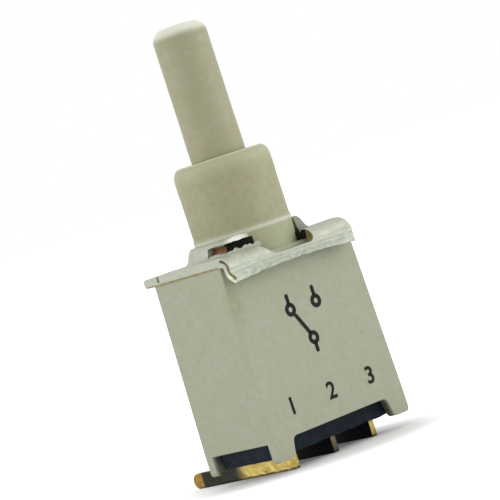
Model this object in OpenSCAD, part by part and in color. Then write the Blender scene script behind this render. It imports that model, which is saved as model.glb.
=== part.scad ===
// Ultra-miniature momentary pushbutton switch, changeover, with side-leg terminals.
// Origin: on the plunger's axis, in the plane of the terminal legs' undersides.
// +Z is up, the marked front face looks towards -Y, and the legs reach out towards +Y.

/* [Housing] */
// Width of the housing at its lower edge (X)
case_w = 8.5; // [8.2:0.1:10.5]
// Depth of the housing at its lower edge (Y)
case_d = 4.8; // [4.8:0.1:6]
// Height of the housing from its lower edge to the frame plate
case_h = 8.1; // [7.8:0.1:10]
// Total inward draft of the width towards the top
draft_w = 0.36; // [0:0.02:0.5]
// Total inward draft of the depth towards the top
draft_d = 0.2; // [0:0.02:0.24]
// Radius of the housing's upright edges
case_edge_r = 0.14; // [0.05:0.01:0.3]
// Thickness of the housing's roof
roof_t = 0.73; // [0.5:0.01:1]
// Thickness of the housing's end walls at the plate
end_wall_t = 0.67; // [0.4:0.01:0.8]
// Thickness of the housing's front and rear walls at the plate
side_wall_t = 0.65; // [0.4:0.01:0.8]

/* [Feet] */
// Height of the corner feet below the housing's lower edge
foot_h = 0.92; // [0.75:0.01:1.2]
// Width of a corner foot at its root (X)
foot_w = 1.2; // [0.6:0.05:1.3]
// Depth of a corner foot (Y)
foot_d = 0.46; // [0.3:0.01:0.5]
// Taper of a corner foot on its inner side
foot_taper = 0.2; // [0:0.01:0.25]
// Rounding of the feet's lower corners
foot_r = 0.22; // [0.05:0.01:0.22]

/* [Frame plate] */
// Sheet thickness of the frame plate
plate_t = 0.42; // [0.25:0.01:0.6]
// How far the plate stands out past the housing at the back
plate_back = 0.6; // [0.5:0.05:0.9]
// How far the plate stands out past the housing at each end
plate_end = 0.06; // [0:0.01:0.3]
// Distance from the housing's front face to the middle of the skirt
skirt_out = 0.55; // [0.4:0.01:0.8]
// Inner radius of the skirt's two bends
bend_r = 0.15; // [0.1:0.01:0.3]
// Straight upright length of the skirt between its bends
skirt_drop = 0.1; // [0.1:0.01:0.5]
// Length of the flared lip below the lower bend
lip_len = 0.38; // [0.1:0.01:0.8]
// Angle by which the lip flares out from upright
lip_angle = 50; // [20:1:70]
// Rise of the lip's lower edge in the middle
lip_arch = 0.27; // [0.02:0.01:0.4]
// Plan radius of the plate's front right corner
plate_corner_r = 1.4; // [0.3:0.05:1.6]
// Clearance between the bushing's neck and the plate's hole
hole_gap = 0.37; // [0.3:0.01:0.4]
// Width of the opening that the hole leaves in the skirt
notch_w = 2.6; // [1.8:0.05:2.7]
// Rounding of that opening's corners
notch_r = 0.4; // [0.2:0.05:0.6]
// Sideways place of that opening
notch_x = -0.05; // [-0.2:0.05:0.2]
// Depth of that opening below the plate
notch_drop = 0.19; // [0.05:0.01:0.3]
// Height of the drawn claws above the plate
claw_h = 0.72; // [0.4:0.01:0.78]
// Wall thickness of the claws at the plate
claw_t = 0.24; // [0.15:0.01:0.28]
// Wall thickness of the claws at their tips
claw_tip_t = 0.12; // [0.08:0.01:0.2]
// Angle from +X, turning towards +Y, at which the front gap between the claws starts
front_gap_from = 240; // [236:1:260]
// Angle at which the front gap ends
front_gap_to = 312; // [290:1:330]
// Angle at which the rear gap between the claws starts
rear_gap_from = 55; // [30:1:75]
// Angle at which the rear gap ends
rear_gap_to = 125; // [105:1:145]
// Angle at which the lanced window in the left claw starts
window_from = 184; // [170:1:200]
// Angle at which that window ends
window_to = 234; // [210:1:235]

/* [Bushing] */
// Radius of the bushing's barrel
bush_r = 2.28; // [2:0.02:2.5]
// Length of the bushing's barrel above its neck
bush_len = 3.38; // [2.8:0.01:5]
// How far the neck's upper edge stands out past the barrel
neck_out = 0.04; // [0.01:0.01:0.1]
// Draft of the neck: how much its radius narrows down to the frame plate
neck_draft = 0.04; // [0.01:0.01:0.08]
// Height of the neck above the frame plate
neck_h = 0.92; // [0.85:0.01:1.2]
// Rounding of the bushing's upper edge
bush_edge_r = 0.38; // [0.1:0.01:0.5]
// Wall of the spigot that is pressed into the housing's roof
spigot_t = 0.42; // [0.3:0.01:0.5]

/* [Plunger] */
// Radius of the plunger
plunger_r = 1.28; // [1:0.01:1.3]
// How far the plunger stands out of the bushing
plunger_out = 6.3; // [4:0.1:8]
// Rounding of the plunger's upper edge
plunger_edge_r = 0.6; // [0.1:0.01:0.8]
// Running clearance between the plunger and its bore
plunger_gap = 0.05; // [0.02:0.01:0.08]
// How far the head stands out past the bore
head_out = 0.25; // [0.15:0.01:0.27]
// Thickness of the head
head_h = 0.62; // [0.4:0.01:0.7]
// Full travel of the plunger
travel = 1.2; // [0.8:0.05:1.2]
// Thickness of the stop ring between the head and the bushing
stop_t = 0.24; // [0.15:0.01:0.3]
// Thickness of the wiper seal at the mouth of the bushing
seal_t = 0.5; // [0.3:0.01:0.6]

/* [Base] */
// Width of the sealing block below the housing (X)
block_w = 7.9; // [6:0.1:8]
// Depth of the sealing block below the housing (Y)
block_d = 3.7; // [3.4:0.1:3.7]
// Plan radius of the sealing block's corners
block_r = 0.35; // [0.1:0.05:0.8]
// Depth of the sealing compound inside the housing
pot_h = 0.42; // [0.3:0.01:0.5]
// Thickness of the insulating base above the compound
base_t = 0.65; // [0.5:0.01:0.7]

/* [Terminals] */
// Distance between neighbouring terminals
pitch = 2.54; // [2.5:0.01:2.6]
// Thickness of the terminal sheet (X)
term_t = 0.3; // [0.2:0.01:0.4]
// Height of the terminal legs
leg_h = 0.72; // [0.65:0.01:0.85]
// How far the legs reach behind the plunger's axis
leg_reach = 5.6; // [4:0.1:7]
// Depth of the upright posts (Y)
post_d = 0.4; // [0.3:0.01:0.42]
// Gap between the posts and the housing's front wall
post_gap = 0.15; // [0.1:0.01:0.2]
// How far the terminals reach below the feet
leg_below = 0.6; // [0.3:0.01:0.64]

/* [Contacts] */
// Thickness of a fixed contact
pad_t = 0.15; // [0.1:0.01:0.16]
// Width of a fixed contact
pad_w = 0.5; // [0.35:0.01:0.6]
// Thickness of the moving contact strip
strip_t = 0.12; // [0.1:0.01:0.14]
// Height of the moving contact strip
strip_h = 0.5; // [0.4:0.02:0.6]
// Gap left between the moving contact's ribs and the fixed contacts
contact_gap = 0.02; // [0.01:0.01:0.03]

/* [Springs] */
// Wire diameter of the return spring
spring_wire = 0.2; // [0.14:0.01:0.21]
// Mean radius of the return spring
spring_r = 0.76; // [0.7:0.01:0.78]
// Turns of the return spring
spring_turns = 5; // [4:1:5]
// Wire diameter of the contact spring
contact_wire = 0.12; // [0.08:0.01:0.14]
// Mean radius of the contact spring
contact_spring_r = 0.33; // [0.28:0.01:0.36]

/* [Hidden] */
$fn = 96;
// Fineness of round corners inside hulls
corner_fn = 32;
// Overlap that joins two shapes of one piece
weld = 0.05;
// Over-length of a cutting shape
cut = 1;
// Thin layer that only carries a hull's outline
skin = 0.01;
// Side of a cutting shape that reaches past the whole part
wide = 30;

// Levels, from the floor up
foot_z = leg_below;
edge_z = foot_z + foot_h;
pot_top_z = edge_z + pot_h;
base_top_z = pot_top_z + base_t;
plate_z = edge_z + case_h;
roof_z = plate_z - roof_t;
plate_top_z = plate_z + plate_t;
neck_top_z = plate_top_z + neck_h;
bush_top_z = neck_top_z + bush_len;
plunger_top_z = bush_top_z + plunger_out;

// Housing at the plate, and the cavity inside it
top_w = case_w - draft_w;
top_d = case_d - draft_d;
cavity_w = top_w - 2 * end_wall_t;
cavity_d = top_d - 2 * side_wall_t;

// Bushing's neck at its upper edge and at the frame plate
neck_top_r = bush_r + neck_out;
neck_r = neck_top_r - neck_draft;

// Frame plate: hole, claws, skirt and lip
hole_r = neck_r + hole_gap;
claw_base_r = hole_r + weld;
claw_tip_r = neck_top_r + 0.02;
claw_top_z = plate_top_z + claw_h;
claw_lean = (claw_base_r - claw_t - claw_tip_r) / claw_h;
window_sill = 0.1;
window_bar = 0.16;
pocket_d = 0.35;
pocket_gap = 0.1;
notch_h = notch_drop + plate_t + 2 * notch_r;
plate_left = -top_w / 2 - plate_end;
plate_right = top_w / 2 + plate_end;
plate_rear = top_d / 2 + plate_back;
skirt_mid_y = -top_d / 2 - skirt_out;
bend_y = skirt_mid_y + plate_t / 2 + bend_r;
flare_y = skirt_mid_y - plate_t / 2 - bend_r;
flare_z = plate_z - bend_r - skirt_drop;
lip_front_y = flare_y + bend_r * cos(lip_angle) - lip_len * sin(lip_angle);
lip_low_z = flare_z - (bend_r + plate_t) * sin(lip_angle) - lip_len * cos(lip_angle);
arch_chord = (plate_right - plate_left) / 2;
arch_r = (pow(arch_chord, 2) + pow(lip_arch, 2)) / (2 * lip_arch);
relief_w = 0.14;
relief_in = 0.12;
relief_back = 1.1;

// Sealant bead inside the left claw
bead_from = 150;
bead_to = 202;
bead_low = 0.3;
bead_high = 0.4;

// Plunger, its head and its seal, at rest
bore_r = plunger_r + plunger_gap;
spigot_r = bore_r + spigot_t;
head_r = bore_r + head_out;
rest_gap = 0.02;
ring_gap = 0.02;
stop_z = roof_z - rest_gap - stop_t;
head_z = stop_z - head_h;
stem_r = 0.7;
stem_h = 0.95;
seal_gap = 0.01;
seal_mid_r = bore_r - seal_gap - seal_t / 2;
groove_r = seal_mid_r - seal_t / 2 - seal_gap;
groove_h = seal_t + 2 * ring_gap;
seal_z = bush_top_z - groove_h / 2;
bore_chamfer = 0.08;

// Posts, fixed contacts and the moving strip
post_front_y = -cavity_d / 2 + post_gap;
pad_y = post_front_y + post_d;
rib_r = 0.07;
rib_out = 0.03;
strip_y = pad_y + pad_t + contact_gap + rib_out;
strip_back_y = strip_y + strip_t;
pad_margin = 0.1;
pad_h = strip_h + 2 * pad_margin;

// Carrier
carrier_h = 2.8;
carrier_z = head_z - carrier_h;
carrier_gap = 0.1;
carrier_back_gap = 0.05;
strip_mid_z = carrier_z + 0.9;
ledge_h = 0.22;
ledge_out = 0.08;
ledge_gap = 0.03;
core_w = 1.5;
core_h = 1.7;
core_wall = 0.35;
contact_spring_gap = 0.05;
contact_spring_len = 1.1;
contact_spring_turns = 5;

// Heights of the fixed contacts and of the posts that carry them
rest_pad_z = strip_mid_z - pad_h / 2;
pressed_pad_z = rest_pad_z - travel;
post_over = 0.05;

// Return spring between its seat and the carrier
seat_t = 0.12;
seat_z = base_top_z + seat_t;
spring_len = carrier_z - seat_z;
spring_play = 0.06;
boss_r = spring_r - spring_wire / 2 - 0.12;
boss_h = 0.42;
coil_steps = 24;
coil_sides = 8;
closed_pitch = 1.08;

// ------------------------------------------------------------------ shared shapes

// Rectangle with rounded corners, centred on the origin
module round_rect(w, d, r) {
    square([w - 2 * r, d], center = true);
    square([w, d - 2 * r], center = true);
    for (sx = [-1, 1], sy = [-1, 1])
        translate([sx * (w / 2 - r), sy * (d / 2 - r)]) circle(r = r);
}

// Flat ring standing on height z
module ring(z, h, outer, inner) {
    translate([0, 0, z])
        difference() {
            cylinder(r = outer, h = h);
            translate([0, 0, -cut]) cylinder(r = inner, h = h + 2 * cut);
        }
}

// Plan sector between two angles less than 180 degrees apart
module sector(from, to) {
    mid = (from + to) / 2;
    polygon([[0, 0],
             [wide * cos(from), wide * sin(from)],
             [wide * cos(mid), wide * sin(mid)],
             [wide * cos(to), wide * sin(to)]]);
}

// The same sector as an upright wedge
module wedge(from, to, z, h) {
    translate([0, 0, z]) linear_extrude(height = h) sector(from, to);
}

// Bent strip of sheet between two angles
module bend(from, to) {
    intersection() {
        difference() {
            circle(r = bend_r + plate_t);
            circle(r = bend_r);
        }
        sector(from, to);
    }
}

// Shape drawn in the Y-Z plane and extruded along X
module along_x(from, len) {
    translate([from, 0, 0]) rotate([90, 0, 90]) linear_extrude(height = len) children();
}

// Height of a coil's wire after t turns: closed end turns, open ones between
function coil_rise(t, turns, rise, wire) =
    let (closed = closed_pitch * wire)
    t < 1 ? t * closed
    : t > turns - 1 ? rise - (turns - t) * closed
    : closed + (t - 1) * (rise - 2 * closed) / (turns - 2);

// Compression spring standing on the origin
module coil(mean_r, wire, height, turns) {
    steps = turns * coil_steps;
    points = [for (i = [0 : steps])
        let (t = i / coil_steps,
             z = wire / 2 + coil_rise(t, turns, height - wire, wire))
        for (k = [0 : coil_sides - 1])
            let (b = 360 * k / coil_sides, r = mean_r + wire / 2 * cos(b))
            [r * cos(360 * t), r * sin(360 * t), z + wire / 2 * sin(b)]];
    sides = [for (i = [0 : steps - 1], k = [0 : coil_sides - 1])
        let (n = (k + 1) % coil_sides, a = i * coil_sides, b = a + coil_sides)
        [a + k, b + k, b + n, a + n]];
    first = [for (k = [0 : coil_sides - 1]) k];
    last = [for (k = [coil_sides - 1 : -1 : 0]) steps * coil_sides + k];
    polyhedron(points = points, faces = concat(sides, [first], [last]), convexity = 10);
}

// ------------------------------------------------------------------ housing

module case_outline(w, d, z) {
    translate([0, 0, z])
        linear_extrude(height = skin) round_rect(w, d, case_edge_r, $fn = corner_fn);
}

// Front right foot, its outer faces flush with the housing's lower edge
module foot() {
    translate([case_w / 2 - foot_w, foot_d - case_d / 2, 0])
        rotate([90, 0, 0])
            linear_extrude(height = foot_d)
                hull() {
                    translate([0, edge_z]) square([foot_w, weld]);
                    for (x = [foot_taper + foot_r, foot_w - foot_r])
                        translate([x, foot_z + foot_r]) circle(r = foot_r, $fn = corner_fn);
                }
}

module housing() {
    color([0.70, 0.71, 0.63])
        difference() {
            union() {
                hull() {
                    case_outline(case_w, case_d, edge_z);
                    case_outline(top_w, top_d, plate_z - skin);
                }
                for (mx = [0, 1], my = [0, 1])
                    mirror([mx, 0, 0]) mirror([0, my, 0]) foot();
            }
            // Cavity, open below
            translate([-cavity_w / 2, -cavity_d / 2, edge_z - cut])
                cube([cavity_w, cavity_d, roof_z - edge_z + cut]);
            // Bore for the bushing's spigot
            translate([0, 0, roof_z - cut]) cylinder(r = spigot_r, h = roof_t + 2 * cut);
            // Shallow pocket round the neck, kept clear of the front and rear walls
            intersection() {
                ring(plate_z - pocket_d, pocket_d + cut, hole_r - pocket_gap, neck_r);
                translate([-wide / 2, -cavity_d / 2, 0]) cube([wide, cavity_d, wide]);
            }
        }
}

// ------------------------------------------------------------------ frame plate

// Side profile of the sheet: flat, bent down in front, then flared out
module plate_profile() {
    rear_y = plate_rear - plate_t / 2;
    translate([bend_y, plate_z]) square([rear_y - bend_y, plate_t]);
    translate([rear_y, plate_z + plate_t / 2]) circle(r = plate_t / 2);
    translate([bend_y, plate_z - bend_r]) bend(90, 180);
    translate([skirt_mid_y - plate_t / 2, flare_z]) square([plate_t, skirt_drop]);
    translate([flare_y, flare_z]) {
        bend(-lip_angle, 0);
        rotate(-lip_angle) translate([bend_r, -lip_len]) square([plate_t, lip_len]);
    }
}

// Plan outline: square ended, with one well rounded front corner
module plate_plan() {
    r = plate_corner_r;
    corner = [plate_right - r, lip_front_y + r];
    difference() {
        translate([plate_left, lip_front_y - cut])
            square([plate_right - plate_left, wide]);
        translate([corner[0], corner[1] - r - 2 * cut]) square([r + cut, r + 2 * cut]);
    }
    translate(corner) circle(r = r);
}

// Two drawn claws that lean in to the bushing's neck
module claws() {
    difference() {
        rotate_extrude()
            polygon([[claw_base_r - claw_t, plate_z],
                     [claw_base_r, plate_z],
                     [claw_base_r, plate_top_z],
                     [claw_tip_r + claw_tip_t, claw_top_z],
                     [claw_tip_r, claw_top_z],
                     [claw_base_r - claw_t, plate_top_z]]);
        wedge(front_gap_from, front_gap_to, plate_z - cut, claw_h + plate_t + 2 * cut);
        wedge(rear_gap_from, rear_gap_to, plate_z - cut, claw_h + plate_t + 2 * cut);
        wedge(window_from, window_to, plate_top_z + window_sill,
              claw_h - window_sill - window_bar);
    }
}

module frame_plate() {
    color([0.74, 0.76, 0.75]) {
        difference() {
            intersection() {
                along_x(plate_left, plate_right - plate_left) plate_profile();
                linear_extrude(height = wide) plate_plan();
            }
            translate([0, 0, plate_z - cut])
                cylinder(r = hole_r, h = plate_t + 2 * cut);
            // Opening that the hole leaves in the skirt
            translate([notch_x, -hole_r / 2, plate_z - notch_drop + notch_h / 2])
                rotate([90, 0, 0])
                    linear_extrude(height = wide) round_rect(notch_w, notch_h, notch_r);
            // Arched lower edge of the lip
            translate([0, -wide / 2, lip_low_z + lip_arch - arch_r])
                rotate([-90, 0, 0]) cylinder(r = arch_r, h = wide / 2, $fn = 256);
            // Relief notch in the left edge near the back
            translate([plate_left - cut + relief_in, plate_rear - relief_back,
                       plate_z + plate_t / 3])
                cube([cut, relief_w, plate_t]);
        }
        claws();
    }
}

// ------------------------------------------------------------------ bushing

module bushing_profile() {
    e = bush_edge_r;
    translate([0, roof_z]) square([spigot_r, roof_t + weld]);
    polygon([[0, plate_z], [neck_r, plate_z], [neck_top_r, neck_top_z], [0, neck_top_z]]);
    translate([0, neck_top_z - weld]) square([bush_r, bush_len + weld - e]);
    translate([0, neck_top_z]) square([bush_r - e, bush_len]);
    translate([bush_r - e, bush_top_z - e]) circle(r = e);
}

module bushing() {
    color([0.71, 0.71, 0.60])
        difference() {
            rotate_extrude() bushing_profile();
            translate([0, 0, roof_z - cut])
                cylinder(r = bore_r, h = bush_top_z - roof_z + 2 * cut);
            // Lead-in chamfer of the bore
            translate([0, 0, bush_top_z - bore_chamfer])
                cylinder(r1 = bore_r, r2 = bore_r + 2 * bore_chamfer, h = 2 * bore_chamfer);
        }
}

// Radius of the tapered neck at a height
function neck_at(z) = neck_r + neck_draft * (z - plate_z) / (neck_top_z - plate_z);

// Bead of red-brown sealant between the neck and the left claw
module neck_sealant() {
    outer = claw_base_r - claw_t;
    low_z = plate_top_z - bead_low;
    high_z = plate_top_z + bead_high;
    color([0.42, 0.20, 0.13])
        intersection() {
            rotate_extrude()
                polygon([[neck_at(low_z), low_z],
                         [outer, low_z],
                         [outer, plate_top_z],
                         [outer - bead_high * claw_lean, high_z],
                         [neck_at(high_z), high_z]]);
            wedge(bead_from, bead_to, 0, wide);
        }
}

// ------------------------------------------------------------------ base

// Slots that the three posts pass through
module post_slots() {
    for (i = [-1 : 1])
        translate([i * pitch - term_t / 2, post_front_y, 0])
            cube([term_t, post_d, base_top_z + cut]);
}

module base_insulator() {
    color([0.20, 0.20, 0.22])
        difference() {
            union() {
                translate([-cavity_w / 2, -cavity_d / 2, pot_top_z])
                    cube([cavity_w, cavity_d, base_t]);
                translate([0, 0, base_top_z - weld]) cylinder(r = boss_r, h = boss_h + weld);
            }
            post_slots();
        }
}

// Sealing compound: a slab inside the housing and a block that stands out below it
module sealing_block() {
    color([0.13, 0.15, 0.20])
        difference() {
            union() {
                translate([-cavity_w / 2, -cavity_d / 2, edge_z])
                    cube([cavity_w, cavity_d, pot_h]);
                translate([0, 0, leg_h])
                    linear_extrude(height = edge_z - leg_h)
                        round_rect(block_w, block_d, block_r);
            }
            post_slots();
        }
}

module spring_seat() {
    color([0.62, 0.60, 0.52])
        ring(base_top_z, seat_t, spring_r + spring_wire, boss_r + ring_gap);
}

// ------------------------------------------------------------------ terminals

// One stamped terminal: upright post and a leg with a rounded tip
module terminal(place, top_z) {
    tip_y = leg_reach - leg_h / 2;
    color([0.80, 0.66, 0.28])
        along_x(place * pitch - term_t / 2, term_t) {
            translate([post_front_y, 0]) square([tip_y - post_front_y, leg_h]);
            translate([tip_y, leg_h / 2]) circle(r = leg_h / 2);
            translate([post_front_y, 0]) square([post_d, top_z]);
        }
}

module fixed_contact(place, low_z, high_z) {
    color([0.86, 0.74, 0.36])
        translate([place * pitch - pad_w / 2, pad_y, low_z])
            cube([pad_w, pad_t, high_z - low_z]);
}

// ------------------------------------------------------------------ moving group

module plunger_profile() {
    e = plunger_edge_r;
    translate([0, head_z - stem_h]) square([stem_r, stem_h + weld]);
    translate([0, head_z]) square([head_r, head_h]);
    translate([0, head_z]) square([plunger_r, plunger_top_z - head_z - e]);
    translate([0, head_z]) square([plunger_r - e, plunger_top_z - head_z]);
    translate([plunger_r - e, plunger_top_z - e]) circle(r = e);
}

module plunger() {
    color([0.72, 0.72, 0.62])
        difference() {
            rotate_extrude() plunger_profile();
            ring(seal_z - groove_h / 2, groove_h, bore_r + cut, groove_r);
        }
}

module plunger_seal() {
    color([0.10, 0.10, 0.10])
        translate([0, 0, seal_z])
            rotate_extrude() translate([seal_mid_r, 0]) circle(r = seal_t / 2);
}

module stop_ring() {
    color([0.15, 0.15, 0.15])
        ring(stop_z, stop_t, head_r - ring_gap, plunger_r + ring_gap);
}

// Slider that carries the moving contact, with two moulded cores in its back
module contact_carrier() {
    w = cavity_w - 2 * carrier_gap;
    back_y = cavity_d / 2 - carrier_back_gap;
    color([0.82, 0.81, 0.76])
        difference() {
            union() {
                translate([-w / 2, strip_back_y, carrier_z])
                    cube([w, back_y - strip_back_y, carrier_h]);
                for (z = [strip_mid_z - strip_h / 2 - ledge_gap - ledge_h,
                          strip_mid_z + strip_h / 2 + ledge_gap])
                    translate([-w / 2, strip_back_y - ledge_out, z])
                        cube([w, ledge_out + weld, ledge_h]);
                translate([0, 0, carrier_z - boss_h]) cylinder(r = boss_r, h = boss_h + weld);
            }
            // Socket for the plunger's stem
            translate([0, 0, head_z - stem_h]) cylinder(r = stem_r, h = stem_h + cut);
            // Blind hole for the contact spring
            translate([0, strip_back_y - cut, strip_mid_z])
                rotate([-90, 0, 0])
                    cylinder(r = contact_spring_r + contact_wire / 2 + contact_spring_gap,
                             h = contact_spring_len + cut);
            for (sx = [-1, 1])
                translate([sx * (w / 2 - core_wall - core_w / 2) - core_w / 2,
                           strip_back_y + core_wall, carrier_z + (carrier_h - core_h) / 2])
                    cube([core_w, back_y, core_h]);
        }
}

module moving_contact() {
    w = 2 * pitch + pad_w;
    color([0.84, 0.70, 0.32]) {
        translate([-w / 2, strip_y, strip_mid_z - strip_h / 2]) cube([w, strip_t, strip_h]);
        for (i = [-1 : 1])
            translate([i * pitch, strip_y - rib_out + rib_r, strip_mid_z - strip_h / 2])
                cylinder(r = rib_r, h = strip_h);
    }
}

module contact_spring() {
    color([0.78, 0.80, 0.82])
        translate([0, strip_back_y, strip_mid_z])
            rotate([-90, 0, 0])
                coil(contact_spring_r, contact_wire, contact_spring_len, contact_spring_turns);
}

module return_spring() {
    color([0.72, 0.74, 0.76])
        translate([0, 0, seat_z])
            coil(spring_r, spring_wire, spring_len, spring_turns);
}

// ------------------------------------------------------------------ output

housing();
frame_plate();
bushing();
neck_sealant();
base_insulator();
sealing_block();
spring_seat();
terminal(-1, rest_pad_z + pad_h + post_over);  // terminal_nc
terminal(0, rest_pad_z + pad_h + post_over);  // terminal_common
terminal(1, pressed_pad_z + pad_h + post_over);  // terminal_no
fixed_contact(-1, rest_pad_z, rest_pad_z + pad_h);  // fixed_contact_nc
fixed_contact(0, pressed_pad_z, rest_pad_z + pad_h);  // fixed_contact_common
fixed_contact(1, pressed_pad_z, pressed_pad_z + pad_h);  // fixed_contact_no
plunger();
plunger_seal();
stop_ring();
contact_carrier();
moving_contact();
contact_spring();
return_spring();
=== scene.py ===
"""Looks of an ultra-miniature pushbutton switch, built round its packed construction."""

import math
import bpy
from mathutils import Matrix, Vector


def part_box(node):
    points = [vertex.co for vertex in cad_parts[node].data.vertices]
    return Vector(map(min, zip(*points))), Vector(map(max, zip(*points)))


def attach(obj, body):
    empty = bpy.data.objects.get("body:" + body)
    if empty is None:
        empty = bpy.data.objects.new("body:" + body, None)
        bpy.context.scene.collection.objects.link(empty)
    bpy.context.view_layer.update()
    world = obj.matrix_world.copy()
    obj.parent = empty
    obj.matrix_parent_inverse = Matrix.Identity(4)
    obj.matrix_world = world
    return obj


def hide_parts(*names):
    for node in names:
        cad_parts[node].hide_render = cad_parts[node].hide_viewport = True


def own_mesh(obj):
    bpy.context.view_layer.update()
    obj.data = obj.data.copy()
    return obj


bl_info = {
    "name": "Miniature Pushbutton Switch",
    "version": (1, 0, 0),
    "blender": (4, 5, 0),
    "location": "View3D > Sidebar > Switch",
    "description": "Builds the finished pieces of a pushbutton switch round its fixed frame",
    "category": "Object",
}

import bmesh
import bpy
from bpy.props import FloatProperty, FloatVectorProperty, PointerProperty
from mathutils import Matrix, Vector, noise

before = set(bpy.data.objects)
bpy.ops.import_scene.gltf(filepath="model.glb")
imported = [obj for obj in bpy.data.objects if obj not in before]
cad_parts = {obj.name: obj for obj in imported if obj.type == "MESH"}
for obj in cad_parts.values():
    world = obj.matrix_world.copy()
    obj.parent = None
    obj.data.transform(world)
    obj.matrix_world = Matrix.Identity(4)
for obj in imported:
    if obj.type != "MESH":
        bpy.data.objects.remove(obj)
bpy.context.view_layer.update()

FIXED = "switch_body"
MOVING = "plunger_group"
MM = 0.001


def box_mm(node):
    """Lowest and highest corner of a node, in millimetres."""
    return [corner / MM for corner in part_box(node)]


CASE_LOW, CASE_HIGH = box_mm("housing")
PLATE_LOW, PLATE_HIGH = box_mm("frame_plate")
BUSH_LOW, BUSH_HIGH = box_mm("bushing")
PLUNGER_LOW, PLUNGER_HIGH = box_mm("plunger")
BLOCK_LOW, BLOCK_HIGH = box_mm("sealing_block")
BEAD_LOW, BEAD_HIGH = box_mm("neck_sealant")
SEAL_LOW = box_mm("plunger_seal")[0]
BASE_LOW, BASE_HIGH = box_mm("base_insulator")
LEG_LOW = box_mm("terminal_common")[0]
LEGS = ("terminal_nc", "terminal_common", "terminal_no")

# The bent frame plate: its thickness, the bend down to the skirt, the lip and the front
# right corner, which is rounded in plan.
SHEET = 0.42
PLATE_TOP = CASE_HIGH.z + SHEET
BEND_Y = -2.49
BEND_RADIUS = 0.36
SKIRT_DROP = 0.10
LIP_LENGTH = 0.38
LIP_LEAN = math.radians(50)
CORNER_X = 2.73
CORNER_Y = -2.0
CORNER_RADIUS = 1.4
BARE_Y = -2.62  # in front of this line the opening's side is bare metal, behind it painted shade
CLAW_INSIDE = 2.36  # radius of the claws' inner face


# ---------------------------------------------------------------- sizes and colours


def length(name, description, default_mm):
    """A length that is written in millimetres and kept in metres."""
    return FloatProperty(
        name=name,
        description=description,
        default=default_mm * MM,
        min=0.0,
        precision=5,
        unit="LENGTH",
        subtype="DISTANCE",
    )


def colour(name, description, default):
    return FloatVectorProperty(
        name=name,
        description=description,
        default=default,
        min=0.0,
        max=1.0,
        size=3,
        subtype="COLOR",
    )


class SwitchSizes(bpy.types.PropertyGroup):
    """Sizes of the finished pieces that the frame leaves open."""

    foot_height: length("Foot height", "Height of the corner feet", 0.92)
    foot_width: length("Foot width", "Width of a corner foot at its root", 1.2)
    foot_depth: length("Foot depth", "Depth of a corner foot", 0.46)
    case_edge: length("Case edge", "Radius of the housing's upright edges", 0.14)
    case_draft: length("Case draft", "Inward draft of each end of the housing", 0.18)
    sheet: length("Sheet", "Thickness of the frame plate", SHEET)
    neck_height: length("Neck height", "Height of the bushing's neck above the plate", 0.92)
    barrel_radius: length("Barrel radius", "Radius of the bushing's barrel", 2.28)
    barrel_edge: length("Barrel edge", "Rounding of the bushing's upper edge", 0.38)
    bore_radius: length("Bore radius", "Radius of the bushing's bore", 1.33)
    plunger_radius: length("Plunger radius", "Radius of the plunger", 1.28)
    plunger_edge: length("Plunger edge", "Rounding of the plunger's end", 0.6)
    numeral_height: length("Numeral height", "Height of the printed terminal numerals", 0.8)
    ink_line: length("Ink line", "Width of the printed lines", 0.2)


class SwitchColours(bpy.types.PropertyGroup):
    """Colours of the finishes, in linear light."""

    case: colour("Case", "Plastic of the housing", (0.372, 0.385, 0.275))
    bushing: colour("Bushing", "Plastic of the bushing", (0.36, 0.355, 0.212))
    plunger: colour("Plunger", "Plastic of the plunger", (0.37, 0.365, 0.235))
    tin: colour("Tin", "Tin plating of the frame plate", (0.48, 0.51, 0.42))
    cut_edge: colour("Cut edge", "Bare cut edges of the frame plate", (0.26, 0.22, 0.10))
    gold: colour("Gold", "Gold plating of the terminals", (0.86, 0.66, 0.20))
    resin: colour("Resin", "Sealing compound", (0.006, 0.010, 0.017))
    bead: colour("Bead", "Sealant in the neck", (0.27, 0.105, 0.032))
    ink: colour("Ink", "Printing ink", (0.004, 0.004, 0.005))


# ---------------------------------------------------------------- modelling helpers


def mm_sizes():
    """The sizes of the property group, in millimetres."""
    sizes = bpy.context.scene.switch_sizes
    return {name: getattr(sizes, name) / MM for name in SwitchSizes.__annotations__}


def leave_edit_mode():
    if bpy.context.object and bpy.context.object.mode != "OBJECT":
        bpy.ops.object.mode_set(mode="OBJECT")


def only(obj):
    """Make one object the only one selected."""
    leave_edit_mode()
    bpy.ops.object.select_all(action="DESELECT")
    obj.select_set(True)
    bpy.context.view_layer.objects.active = obj


def settle(obj):
    """Write an object's place, turn and scale into its mesh."""
    only(obj)
    bpy.ops.object.transform_apply(location=True, rotation=True, scale=True)


def edit(obj, mode="FACE"):
    """Open one object for editing with nothing selected."""
    only(obj)
    bpy.ops.object.mode_set(mode="EDIT")
    bpy.ops.mesh.select_mode(type=mode)
    bpy.ops.mesh.select_all(action="DESELECT")


def pick(obj, kind, test):
    """Select the vertices, edges or faces of the open object that pass a test."""
    bpy.ops.mesh.select_mode(type=kind)
    bpy.ops.mesh.select_all(action="DESELECT")
    mesh = bmesh.from_edit_mesh(obj.data)
    parts = {"VERT": mesh.verts, "EDGE": mesh.edges, "FACE": mesh.faces}[kind]
    for part in parts:
        if test(part):
            part.select_set(True)
    bmesh.update_edit_mesh(obj.data)


def middle(part):
    """Middle of an edge or a face."""
    points = [vert.co for vert in part.verts]
    return sum(points, Vector()) / len(points)


def span(edge):
    """The step from one end of an edge to the other."""
    return edge.verts[0].co - edge.verts[1].co


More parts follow.
